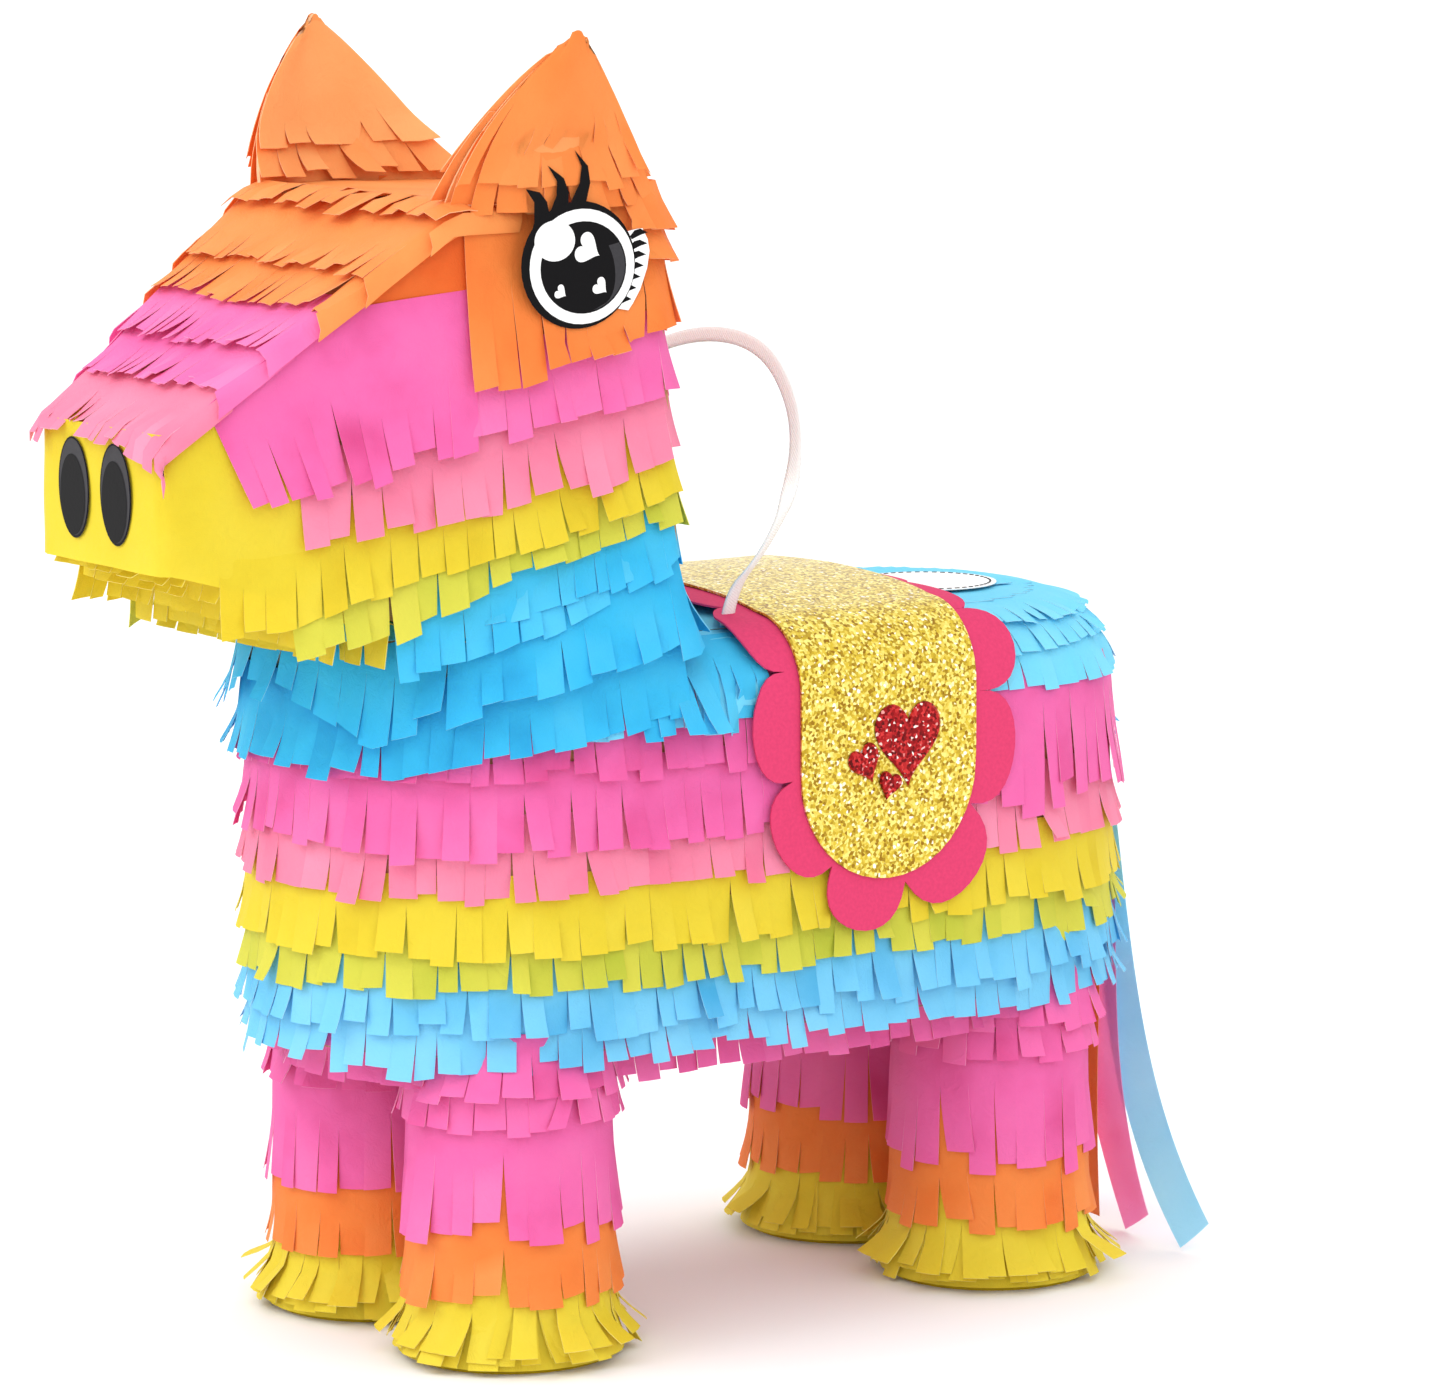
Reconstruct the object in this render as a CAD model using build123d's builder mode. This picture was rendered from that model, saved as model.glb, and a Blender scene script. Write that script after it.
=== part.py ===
# Donkey pinata: a hollow cardboard donkey covered with rows of fringed tissue paper, with a
# fill flap in its back, a card saddle, a hanging loop and paper streamers for a tail.
# Millimetres. The donkey looks along -Y, its left side is +X, and its feet stand on z = 0.
# The origin is on the floor, halfway along the whole donkey.
from build123d import *
import math
import os

os.makedirs("parts", exist_ok=True)

# --- driving dimensions -------------------------------------------------------------------
card = 3.0  # wall of the corrugated cardboard
tissue = 3.0  # layered tissue paper on the outside of the card

body_radius = 71.0  # half width of the body, and the radius of its round chest and rump
chest_y = -52.0  # axis of the round chest
rump_y = 97.0  # axis of the round rump
belly_z = 95.0  # underside of the body
back_z = 213.0  # top of the body
side_roll = 18.0  # rounding between the flank and the back
rump_roll = 27.0  # the same rounding at the rump, where it is fuller
roll_change_y = 41.0  # where the rounding starts to grow

neck_rear_y = -28.0  # flat rear face of the neck
crown_z = 343.0  # top of the head
crown_front_y = -97.0  # where the crown ends and the bridge of the nose starts
crown_half = 57.0
muzzle_y = -182.0  # flat front of the muzzle
muzzle_top_z = 279.0
muzzle_bottom_z = 243.0
muzzle_half = 34.0

leg_x = 38.2
front_leg_y = -68.5
rear_leg_y = 111.0
leg_radius = 29.0
leg_wall = 2.5
leg_paper = 3.5
cap_height = 4.0
cap_radius = 31.0

ear_tip = (72.0, -65.0, 393.0)
ear_base_z = crown_z
ear_card = 2.5

flap_half = 19.0
flap_front_y = 91.0
hinge_y = 132.0
flap_gap = 0.5
seal_radius = 22.5
seal_x = 6.0  # the seal is stuck on a little to the left of the middle
seal_y = 109.0

saddle_front_y = 11.0
saddle_rear_y = 76.0
saddle_low_z = 137.0
cloth_thick = 1.0
strip_thick = 0.8
heart_thick = 0.6
scallop_radius = 16.5

loop_x = 50.0
loop_y = 2.0
loop_diameter = 5.0
loop_hole_radius = 3.0
anchor_thick = 4.0

streamer_width = 13.0
wide_streamer = 20.0  # the pink one beside the left hind leg
streamer_thick = 0.8
streamer_top_z = 166.0

# --- levels of the tissue paper bands on the body -------------------------------------------
blue_low_z = 92.0
yellow_low_z = 113.0
pink_low_z = 142.0
back_blue_low_z = 186.0

# --- worked out -----------------------------------------------------------------------------
floor_z = belly_z + card  # inside bottom of the body, where its walls stand
roll_low_z = back_z - rump_roll - 1.0  # top edge of the flank walls
roll_inner_x = body_radius - rump_roll - 1.0  # half width of the flat back panel
jaw_rear_y = chest_y - 21.0  # where the jaw line meets the top of the chest


def at_y(y):
    """Drawing plane across the donkey: its x is across, its y is up."""
    return Plane.XZ.offset(-y)


def jaw_z(y):
    """Height of the jaw line, which falls from the muzzle to the top of the chest."""
    return back_z + (jaw_rear_y - y) * (muzzle_bottom_z - back_z) / (jaw_rear_y - muzzle_y)


def write(builder, name):
    """Label a finished piece and write it."""
    builder.part.label = name
    export_step(builder.part, f"parts/{name}.step")


def mirrored(builder):
    """The same piece for the other side of the donkey."""
    with BuildPart() as other:
        add(builder.part.mirror(Plane.YZ))
    return other


def above_jaw(drop):
    """Everything above the jaw line, lowered by drop, and above the top of the chest."""
    with BuildPart() as solid:
        with BuildSketch(Plane.YZ.offset(-2 * body_radius)):
            Polygon(
                (muzzle_y, muzzle_bottom_z - drop),
                (jaw_rear_y, back_z - drop),
                (jaw_rear_y, back_z),
                (chest_y + 1.0, back_z),
                (chest_y + 1.0, crown_z),
                (muzzle_y, crown_z),
                align=None,
            )
        extrude(amount=4 * body_radius)
    return solid.part


def half_ring(centre_y, side, inner, outer, low_z, high_z):
    """A half round wall: side is -1 for its front half and 1 for its rear half."""
    with BuildPart() as solid:
        with BuildSketch(Plane.XY.offset(low_z)):
            with Locations((0, centre_y)):
                Circle(outer)
                Circle(inner, mode=Mode.SUBTRACT)
            with Locations((0, centre_y - side * outer)):
                Rectangle(4 * outer, 2 * outer, mode=Mode.SUBTRACT)
        extrude(amount=high_z - low_z)
    return solid.part


def oval(radius, z, height):
    """A solid with the plan of the body: two half circles joined by straight flanks."""
    with BuildPart() as solid:
        with BuildSketch(Plane.XY.offset(z)):
            with Locations((0, chest_y), (0, rump_y)):
                Circle(radius)
            with Locations((0, (chest_y + rump_y) / 2)):
                Rectangle(2 * radius, rump_y - chest_y)
        extrude(amount=height)
    return solid.part


# --- belly, flanks, chest and rump -----------------------------------------------------------
with BuildPart() as belly_panel:
    add(oval(body_radius, belly_z, card))
write(belly_panel, "belly_panel")

with BuildPart() as body_side_left:
    with BuildSketch(Plane.YZ.offset(body_radius - card)):
        Polygon(
            (chest_y, floor_z),
            (rump_y, floor_z),
            (rump_y, roll_low_z),
            (neck_rear_y - card, roll_low_z),
            (neck_rear_y - card, back_z),
            (chest_y, back_z),
            align=None,
        )
    extrude(amount=card)
write(body_side_left, "body_side_left")
write(mirrored(body_side_left), "body_side_right")

with BuildPart() as chest_wall:
    add(half_ring(chest_y, -1, body_radius - card, body_radius, floor_z, muzzle_bottom_z))
    add(above_jaw(0), mode=Mode.SUBTRACT)
write(chest_wall, "chest_wall")

with BuildPart() as rump_wall:
    add(half_ring(rump_y, 1, body_radius - card, body_radius, floor_z, roll_low_z))
write(rump_wall, "rump_wall")


# --- back: a flat panel between two rolled shoulders and a rolled rump ------------------------
def roll_section(y, roll, inner, outer):
    """Section of a rolled shoulder between two offsets from the card's outer face."""
    centre_x = body_radius - roll
    centre_z = back_z - roll
    near = (roll + inner) * math.sqrt(0.5)
    far = (roll + outer) * math.sqrt(0.5)
    with BuildSketch(at_y(y)) as section:
        with BuildLine():
            Polyline(
                (centre_x, back_z + inner),
                (roll_inner_x, back_z + inner),
                (roll_inner_x, back_z + outer),
                (centre_x, back_z + outer),
            )
            ThreePointArc(
                (centre_x, back_z + outer),
                (centre_x + far, centre_z + far),
                (body_radius + outer, centre_z),
            )
            Polyline(
                (body_radius + outer, centre_z),
                (body_radius + outer, roll_low_z),
                (body_radius + inner, roll_low_z),
                (body_radius + inner, centre_z),
            )
            ThreePointArc(
                (body_radius + inner, centre_z),
                (centre_x + near, centre_z + near),
                (centre_x, back_z + inner),
            )
        make_face()
    return section.sketch


def shoulder(front_y, rear_y, inner, outer):
    """The rolled edge of the back, from front_y to rear_y, on the left side."""
    share = (rear_y - roll_change_y) / (rump_y - roll_change_y)
    rear_roll = side_roll + share * (rump_roll - side_roll)
    front_section = roll_section(roll_change_y, side_roll, inner, outer)
    rear_section = roll_section(rear_y, rear_roll, inner, outer)
    with BuildPart() as solid:
        extrude(front_section, amount=roll_change_y - front_y)
        loft([front_section, rear_section], ruled=True)
    return solid.part


def rump_roll_ring(inner, outer):
    """The rolled edge of the back, turned round the rump."""
    with BuildPart() as solid:
        revolve(
            roll_section(rump_y, rump_roll, inner, outer),
            axis=Axis((0, rump_y, 0), (0, 0, 1)),
            revolution_arc=180,
        )
    return solid.part


with BuildPart() as shoulder_left:
    add(shoulder(neck_rear_y - card, rump_y, -card, 0))
    with Locations((loop_x, loop_y, back_z)):
        Cylinder(loop_hole_radius, 4 * card, mode=Mode.SUBTRACT)
write(shoulder_left, "shoulder_left")
write(mirrored(shoulder_left), "shoulder_right")

with BuildPart() as rump_shoulder:
    add(rump_roll_ring(-card, 0))
write(rump_shoulder, "rump_shoulder")


def back_plate(z, height, front_y):
    """Flat top of the back, square at the neck, round at the rump, with the fill hole."""
    hole_length = hinge_y - flap_front_y + flap_gap
    with BuildPart() as solid:
        with BuildSketch(Plane.XY.offset(z)):
            with Locations((0, rump_y)):
                Circle(roll_inner_x)
            with Locations((0, (front_y + rump_y) / 2)):
                Rectangle(2 * roll_inner_x, rump_y - front_y)
            with Locations((0, hinge_y - hole_length / 2)):
                Rectangle(2 * (flap_half + flap_gap), hole_length, mode=Mode.SUBTRACT)
        extrude(amount=height)
    return solid.part


with BuildPart() as back_panel:
    add(back_plate(back_z - card, card, neck_rear_y - card))
write(back_panel, "back_panel")

# --- fill flap: cut out of the back on three sides, creased at the rear -----------------------
flap_length = hinge_y - flap_gap - flap_front_y
flap_middle_y = (flap_front_y + hinge_y - flap_gap) / 2
with BuildPart() as fill_flap:
    with Locations((0, flap_middle_y, back_z - card / 2)):
        Box(2 * flap_half, flap_length, card)
write(fill_flap, "fill_flap")

with BuildPart() as flap_tissue:
    with Locations((0, flap_middle_y, back_z + tissue / 2)):
        Box(2 * flap_half, flap_length, tissue)
write(flap_tissue, "flap_tissue")

with BuildPart() as fill_seal:
    with Locations((seal_x, seal_y, back_z + tissue + 0.2)):
        Cylinder(seal_radius, 0.4)
write(fill_seal, "fill_seal")


# --- head: two cheeks with panels between them -------------------------------------------------
def lerp(a, b, share):
    return a + (b - a) * share


# stations along the head: y, half width at the top, top z, half width at the bottom, bottom z
cheek_front = (crown_front_y, crown_half, crown_z, 60.0, jaw_z(crown_front_y))
head_stations = [
    (muzzle_y, muzzle_half, muzzle_top_z, muzzle_half, muzzle_bottom_z),
    cheek_front,
    (jaw_rear_y, crown_half, crown_z, 67.8, back_z),
    (chest_y, crown_half, crown_z, body_radius, back_z),
    (neck_rear_y, crown_half, crown_z, body_radius, back_z),
]

with BuildPart() as cheek_left:
    for y, top_half, top_z, low_half, low_z in head_stations:
        with BuildSketch(at_y(y)):
            Polygon(
                (low_half, low_z),
                (top_half, top_z),
                (top_half - card, top_z),
                (low_half - card, low_z),
                align=None,
            )
    loft(ruled=True)
write(cheek_left, "cheek_left")
write(mirrored(cheek_left), "cheek_right")

slope = math.atan2(crown_z - muzzle_top_z, crown_front_y - muzzle_y)
bridge_drop = card / math.cos(slope)
with BuildPart() as bridge_panel:
    for y, top_half, top_z, low_half, low_z in head_stations[:2]:
        with BuildSketch(at_y(y)):
            with Locations((0, top_z - bridge_drop / 2)):
                Rectangle(2 * (top_half - card), bridge_drop)
    loft(ruled=True)
write(bridge_panel, "bridge_panel")

with BuildPart() as crown_panel:
    with Locations((0, (crown_front_y + neck_rear_y) / 2, crown_z - card / 2)):
        Box(2 * (crown_half - card), neck_rear_y - crown_front_y, card)
write(crown_panel, "crown_panel")

with BuildPart() as muzzle_front:
    low = muzzle_bottom_z + card
    high = muzzle_top_z - bridge_drop
    with Locations((0, muzzle_y + card / 2, (low + high) / 2)):
        Box(2 * (muzzle_half - card), card, high - low)
write(muzzle_front, "muzzle_front")

with BuildPart() as jaw_panel:
    for y, top_half, top_z, low_half, low_z in head_stations[:3]:
        with BuildSketch(at_y(y)):
            with Locations((0, low_z + card / 2)):
                Rectangle(2 * (low_half - card - 0.6), card)
    loft(ruled=True)
write(jaw_panel, "jaw_panel")

neck_slant = (body_radius - crown_half) / (crown_z - back_z)
with BuildPart() as neck_rear_panel:
    top_z = crown_z - card
    top_half = crown_half - card + neck_slant * card
    with BuildSketch(at_y(neck_rear_y)):
        Polygon(
            (body_radius - card, back_z),
            (top_half, top_z),
            (-top_half, top_z),
            (card - body_radius, back_z),
            align=None,
        )
    extrude(amount=card)
write(neck_rear_panel, "neck_rear_panel")

# --- ears: one folded card each, standing on the crown and leaning outwards --------------------
ear_foot = [(51.0, -96.0), (54.0, -82.0), (52.0, -31.0)]


def ear_profile(points, thick):
    """A folded strip in plan: the three points are on its outer face."""
    inner = [(x - thick, y) for x, y in reversed(points)]
    Polygon(*points, *inner, align=None)


with BuildPart() as ear_left:
    tip_x, tip_y, tip_z = ear_tip
    with BuildSketch(Plane.XY.offset(ear_base_z)):
        ear_profile(ear_foot, ear_card)
    with BuildSketch(Plane.XY.offset(tip_z)):
        ear_profile([(tip_x - 1, tip_y - 4), (tip_x, tip_y), (tip_x - 1, tip_y + 3)], ear_card)
    loft(ruled=True)
write(ear_left, "ear_left")
ear_right = mirrored(ear_left)
write(ear_right, "ear_right")

# --- legs: cardboard tubes with papered caps ----------------------------------------------------
leg_places = {
    "front_left": (leg_x, front_leg_y),
    "front_right": (-leg_x, front_leg_y),
    "rear_left": (leg_x, rear_leg_y),
    "rear_right": (-leg_x, rear_leg_y),
}
for name, (x, y) in leg_places.items():
    with BuildPart() as leg_cap:
        with Locations((x, y, cap_height / 2)):
            Cylinder(cap_radius, cap_height)
    write(leg_cap, f"leg_cap_{name}")

    with BuildPart() as leg_tube:
        with BuildSketch(Plane.XY.offset(cap_height)):
            with Locations((x, y)):
                Circle(leg_radius)
                Circle(leg_radius - leg_wall, mode=Mode.SUBTRACT)
        extrude(amount=belly_z - cap_height)
    write(leg_tube, f"leg_tube_{name}")

    with BuildPart() as leg_tissue:
        with BuildSketch(at_y(y)):
            Polygon(
                (x + leg_radius, blue_low_z),
                (x + leg_radius + leg_paper, blue_low_z),
                (x + leg_radius + leg_paper, 45.0),
                (x + leg_radius + 2 * leg_paper, 9.0),
                (x + leg_radius, 9.0),
                align=None,
            )
        revolve(axis=Axis((x, y, 0), (0, 0, 1)))
    write(leg_tissue, f"leg_tissue_{name}")


# --- tissue paper on the body: closed bands round it ---------------------------------------------
for name, low_z, high_z in (
    ("tissue_body_blue", blue_low_z, yellow_low_z),
    ("tissue_body_yellow", yellow_low_z, pink_low_z),
    ("tissue_body_pink", pink_low_z, roll_low_z),
):
    with BuildPart() as body_band:
        add(oval(body_radius + tissue, low_z, high_z - low_z))
        add(oval(body_radius, low_z, high_z - low_z), mode=Mode.SUBTRACT)
    write(body_band, name)

with BuildPart() as tissue_belly_pink:
    add(oval(body_radius, blue_low_z, belly_z - blue_low_z))
    for x, y in leg_places.values():
        with Locations((x, y, belly_z)):
            Cylinder(leg_radius, 4 * tissue, mode=Mode.SUBTRACT)
write(tissue_belly_pink, "tissue_belly_pink")

with BuildPart() as tissue_back_blue:
    add(shoulder(neck_rear_y + tissue, rump_y, 0, tissue))
    mirror(about=Plane.YZ)
    add(rump_roll_ring(0, tissue))
    add(back_plate(back_z, tissue, neck_rear_y + tissue))
    with Locations((loop_x, loop_y, back_z), (-loop_x, loop_y, back_z)):
        Cylinder(loop_hole_radius, 4 * tissue, mode=Mode.SUBTRACT)
write(tissue_back_blue, "tissue_back_blue")


# --- tissue paper on the neck and head -------------------------------------------------------------
def head_block(grow, rear):
    """The whole head and neck as one block, grown sideways and upwards by grow."""
    stations = [(y, th + grow, tz + grow, lh + grow, lz) for y, th, tz, lh, lz in head_stations]
    stations[-1] = (neck_rear_y + rear, *stations[-1][1:])
    with BuildPart() as solid:
        for y, top_half, top_z, low_half, low_z in stations:
            with BuildSketch(at_y(y)):
                Polygon(
                    (low_half, low_z),
                    (top_half, top_z),
                    (-top_half, top_z),
                    (-low_half, low_z),
                    align=None,
                )
        loft(ruled=True)
    return solid.part


with BuildPart() as head_skin:
    add(head_block(tissue, tissue))
    add(head_block(0, 0), mode=Mode.SUBTRACT)

with BuildPart() as chest_paper:
    add(half_ring(chest_y, -1, body_radius, body_radius + tissue, roll_low_z, muzzle_bottom_z))
    add(above_jaw(tissue), mode=Mode.SUBTRACT)

# boundaries of the colours on the head: height at the muzzle and at the rear of the neck
head_bands = {
    "tissue_neck_blue": ((200.0, 200.0), (228.0, 240.0)),
    "tissue_neck_yellow": ((228.0, 240.0), (262.0, 266.0)),
    "tissue_head_pink": ((262.0, 266.0), (306.0, 302.0)),
    "tissue_head_orange": ((306.0, 302.0), (400.0, 400.0)),
}
for name, ((low_front, low_rear), (high_front, high_rear)) in head_bands.items():
    with BuildPart() as head_band:
        with BuildSketch(Plane.YZ.offset(-2 * body_radius)):
            Polygon(
                (muzzle_y - 20, low_front),
                (neck_rear_y + 20, low_rear),
                (neck_rear_y + 20, high_rear),
                (muzzle_y - 20, high_front),
                align=None,
            )
        extrude(amount=4 * body_radius)
        add(head_skin.part, mode=Mode.INTERSECT)
        if name == "tissue_neck_blue":
            # the front of the chest and the flanks under the neck
            for side in (-1, 1):
                flank_x = side * (body_radius + tissue / 2)
                with Locations((flank_x, (chest_y + neck_rear_y) / 2, (roll_low_z + back_z) / 2)):
                    Box(tissue, neck_rear_y - chest_y, back_z - roll_low_z)
            add(chest_paper.part)
            add(chest_wall.part, mode=Mode.SUBTRACT)
        if name == "tissue_head_orange":
            for ear in (ear_left, ear_right):
                add(ear.part, mode=Mode.SUBTRACT)
    write(head_band, name)

with BuildPart() as tissue_jaw_yellow:
    for y, top_half, top_z, low_half, low_z in head_stations[:3]:
        with BuildSketch(at_y(y)):
            with Locations((0, low_z - tissue / 2)):
                Rectangle(2 * low_half, tissue)
    loft(ruled=True)
    with Locations((0, chest_y, back_z)):
        Cylinder(body_radius, body_radius, mode=Mode.SUBTRACT)
write(tissue_jaw_yellow, "tissue_jaw_yellow")

muzzle_paper = 1.2
with BuildPart() as tissue_muzzle_yellow:
    with Locations((0, muzzle_y - muzzle_paper / 2, (muzzle_bottom_z + muzzle_top_z + tissue) / 2)):
        Box(2 * (muzzle_half + tissue), muzzle_paper, muzzle_top_z + tissue - muzzle_bottom_z)
write(tissue_muzzle_yellow, "tissue_muzzle_yellow")

# --- printed eyes and nostrils ------------------------------------------------------------------------
eye_y = -59.5
eye_z = 326.0
eye_radius = 19.0
side_tilt = math.degrees(math.atan(neck_slant))
eye_x = crown_half + tissue + (crown_z + tissue - eye_z) * neck_slant + 0.1
eye_plane = Plane(
    origin=(eye_x, eye_y, eye_z),
    x_dir=(0, 1, 0),
    z_dir=(math.cos(math.radians(side_tilt)), 0, math.sin(math.radians(side_tilt))),
)
lashes = [
    [(-3, 15), (-2, 32), (4, 16)],
    [(-8, 13), (-11, 29), (-1, 16)],
    [(-15, 8), (-18, 23), (-7, 14)],
]
with BuildPart() as eye_left:
    with BuildSketch(eye_plane):
        Circle(eye_radius)
        for lash in lashes:
            Polygon(*lash, align=None)
    extrude(amount=0.6)
write(eye_left, "eye_left")
write(mirrored(eye_left), "eye_right")

with BuildPart() as nostrils:
    with BuildSketch(at_y(muzzle_y - muzzle_paper)):
        with Locations((-14, 262), (10, 262)):
            Ellipse(9, 14.5)
    extrude(amount=0.6)
write(nostrils, "nostrils")


# --- saddle: scalloped pink card, a glitter strip on it, and three hearts on each side -------------
def saddle_shell(front_y, rear_y, inner, outer):
    """A sheet bent over the back from flank to flank, between two offsets from the card."""
    low = 90.0
    middle_y = (front_y + rear_y) / 2
    middle = (inner + outer) / 2
    with BuildPart() as solid:
        add(shoulder(front_y, rear_y, inner, outer))
        with Locations((body_radius + middle, middle_y, (low + roll_low_z) / 2)):
            Box(outer - inner, rear_y - front_y, roll_low_z - low)
        with Locations((roll_inner_x / 2, middle_y, back_z + middle)):
            Box(roll_inner_x, rear_y - front_y, outer - inner)
        mirror(about=Plane.YZ)
    return solid.part


cloth_inner = tissue + 0.1
strip_inner = cloth_inner + cloth_thick
heart_inner = strip_inner + strip_thick
saddle_middle_y = (saddle_front_y + saddle_rear_y) / 2
flank_scallops = [(9, 215), (7, 187), (15, 156), (37, 138), (62, 145), (74, 174), (75, 205)]
back_scallops = [-32.0, 0.0, 32.0]

with BuildPart() as saddle_cloth:
    add(saddle_shell(-6.0, 92.0, cloth_inner, strip_inner))
    with BuildSketch(Plane.YZ.offset(-2 * body_radius)):
        with Locations((saddle_middle_y, 190)):
            Rectangle(saddle_rear_y - saddle_front_y + 6, 100)
        with Locations(*flank_scallops):
            Circle(scallop_radius)
        with Locations((saddle_middle_y, back_z + 5)):
            Rectangle(120, 12)
    extrude(amount=4 * body_radius, mode=Mode.INTERSECT)
    # the scallops along the front and rear edges of the part that lies on the back
    with BuildSketch(Plane.XY.offset(80)):
        with Locations((0, saddle_middle_y)):
            Rectangle(4 * body_radius, saddle_rear_y - saddle_front_y + 6)
        for x in back_scallops:
            with Locations((x, saddle_front_y + 5), (x, saddle_rear_y - 8)):
                Circle(scallop_radius)
        for side in (-1, 1):
            with Locations((side * 100, saddle_middle_y)):
                Rectangle(100, 120)
    extrude(amount=200, mode=Mode.INTERSECT)
    # the hanging loop comes up through the edge of the cloth
    with Locations((loop_x, loop_y, back_z), (-loop_x, loop_y, back_z)):
        Cylinder(loop_hole_radius, 4 * card, mode=Mode.SUBTRACT)
write(saddle_cloth, "saddle_cloth")

with BuildPart() as saddle_strip:
    add(saddle_shell(saddle_front_y, saddle_rear_y, strip_inner, heart_inner))
    corner = (saddle_rear_y - saddle_front_y) / 2 - 1
    with BuildSketch(Plane.YZ.offset(-2 * body_radius)):
        with Locations((saddle_middle_y, saddle_low_z + 60)):
            RectangleRounded(saddle_rear_y - saddle_front_y, 120, corner)
        with Locations((saddle_middle_y, back_z)):
            Rectangle(saddle_rear_y - saddle_front_y, 60)
    extrude(amount=4 * body_radius, mode=Mode.INTERSECT)
write(saddle_strip, "saddle_strip")


def heart(y, z, width):
    """A heart: two round lobes over a point."""
    lobe = 0.27 * width
    with Locations((y - 0.23 * width, z + 0.12 * width), (y + 0.23 * width, z + 0.12 * width)):
        Circle(lobe)
    Polygon(
        (y - 0.45 * width, z),
        (y, z + 0.2 * width),
        (y + 0.45 * width, z),
        (y, z - 0.48 * width),
        align=None,
    )


hearts = [(50.5, 179, 22), (35, 173, 12), (44, 167, 8)]
with BuildPart() as saddle_hearts_left:
    with BuildSketch(Plane.YZ.offset(body_radius + heart_inner)):
        for y, z, width in hearts:
            heart(y, z, width)
    extrude(amount=heart_thick)
write(saddle_hearts_left, "saddle_hearts_left")
write(mirrored(saddle_hearts_left), "saddle_hearts_right")

# --- hanging loop: a stiff white strap tied to a bar under the back ---------------------------------
with BuildPart() as loop_anchor:
    with Locations((0, loop_y, back_z - card - anchor_thick / 2)):
        Box(2 * (body_radius - side_roll), 10, anchor_thick)
write(loop_anchor, "loop_anchor")

half_route = [
    (loop_x, loop_y, back_z - card),
    (loop_x, loop_y, 223),
    (62, 8, 238),
    (66, 15, 256),
    (56, 24, 275),
    (34, 32, 290),
    (12, 36, 296),
]
route = half_route + [(-x, y, z) for x, y, z in reversed(half_route)]


def arc_radius(before, here, after):
    """Largest tidy arc at a corner of the route."""
    run_in = Vector(here) - Vector(before)
    run_out = Vector(after) - Vector(here)
    turn = run_in.get_angle(run_out)
    return 0.45 * min(run_in.length, run_out.length) / math.tan(math.radians(turn / 2))


radii = [arc_radius(*route[i - 1 : i + 2]) for i in range(1, len(route) - 1)]
with BuildPart() as hang_loop:
    with BuildLine() as strap_path:
        FilletPolyline(*route, radius=radii)
    with BuildSketch(Plane(origin=route[0], z_dir=strap_path.line % 0)):
        Circle(loop_diameter / 2)
    sweep()
write(hang_loop, "hang_loop")
strap_length = strap_path.wires()[0].length
print("loop radii", [round(r, 1) for r in radii], "length", round(strap_length, 1))
section = math.pi * (loop_diameter / 2) ** 2
print("loop volume over section times length", hang_loop.part.volume / (section * strap_length))

# --- tail: paper streamers hung from a folded patch on the rump --------------------------------------
patch_rear_y = -muzzle_y + 1.8
patch_front_y = rump_y + body_radius + tissue + 0.2
with BuildPart() as tail_patch:
    with Locations((0, (patch_front_y + patch_rear_y) / 2, streamer_top_z + 6)):
        Box(34, patch_rear_y - patch_front_y, 12)
write(tail_patch, "tail_patch")

streamers = {
    "tail_streamer_orange": [(0, 166), (6, 120), (8, 60), (11, 4)],
    "tail_streamer_pink": [(3, 166), (9, 120), (13, 65), (33, 5)],
    "tail_streamer_blue": [(8, 166), (19, 120), (24, 70), (62, 6)],
    "tail_streamer_pink_far": [(-7, 166), (-14, 120), (-20, 60), (-34, 5)],
    "tail_streamer_blue_far": [(-9, 166), (-20, 120), (-30, 60), (-52, 8)],
}
for index, (name, line_points) in enumerate(streamers.items()):
    layer_y = patch_front_y + 1.0 + 1.8 * index
    half = (wide_streamer if name == "tail_streamer_pink" else streamer_width) / 2
    with BuildPart() as streamer:
        with BuildSketch(at_y(layer_y)):
            with BuildLine():
                left = [(x - half, z) for x, z in line_points]
                right = [(x + half, z) for x, z in reversed(line_points)]
                Spline(*left)
                Line(left[-1], right[0])
                Spline(*right)
                Line(right[-1], left[0])
            make_face()
        extrude(amount=-streamer_thick)
    write(streamer, name)
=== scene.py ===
import math
import random

import bmesh
import bpy
from mathutils import Matrix, Vector, noise


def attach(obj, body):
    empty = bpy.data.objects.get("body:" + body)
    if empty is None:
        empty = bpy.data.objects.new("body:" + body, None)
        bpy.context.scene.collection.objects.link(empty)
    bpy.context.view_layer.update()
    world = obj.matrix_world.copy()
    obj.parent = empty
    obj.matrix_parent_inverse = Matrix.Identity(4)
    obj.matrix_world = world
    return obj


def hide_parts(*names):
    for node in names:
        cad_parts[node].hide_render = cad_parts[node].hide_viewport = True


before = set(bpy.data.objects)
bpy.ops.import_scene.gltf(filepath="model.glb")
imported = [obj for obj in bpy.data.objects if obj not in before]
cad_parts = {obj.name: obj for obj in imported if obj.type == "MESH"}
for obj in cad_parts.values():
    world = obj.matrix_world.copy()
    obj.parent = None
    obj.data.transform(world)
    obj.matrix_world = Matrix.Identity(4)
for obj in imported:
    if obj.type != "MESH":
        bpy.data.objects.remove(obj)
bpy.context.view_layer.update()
scene = bpy.context.scene

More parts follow.
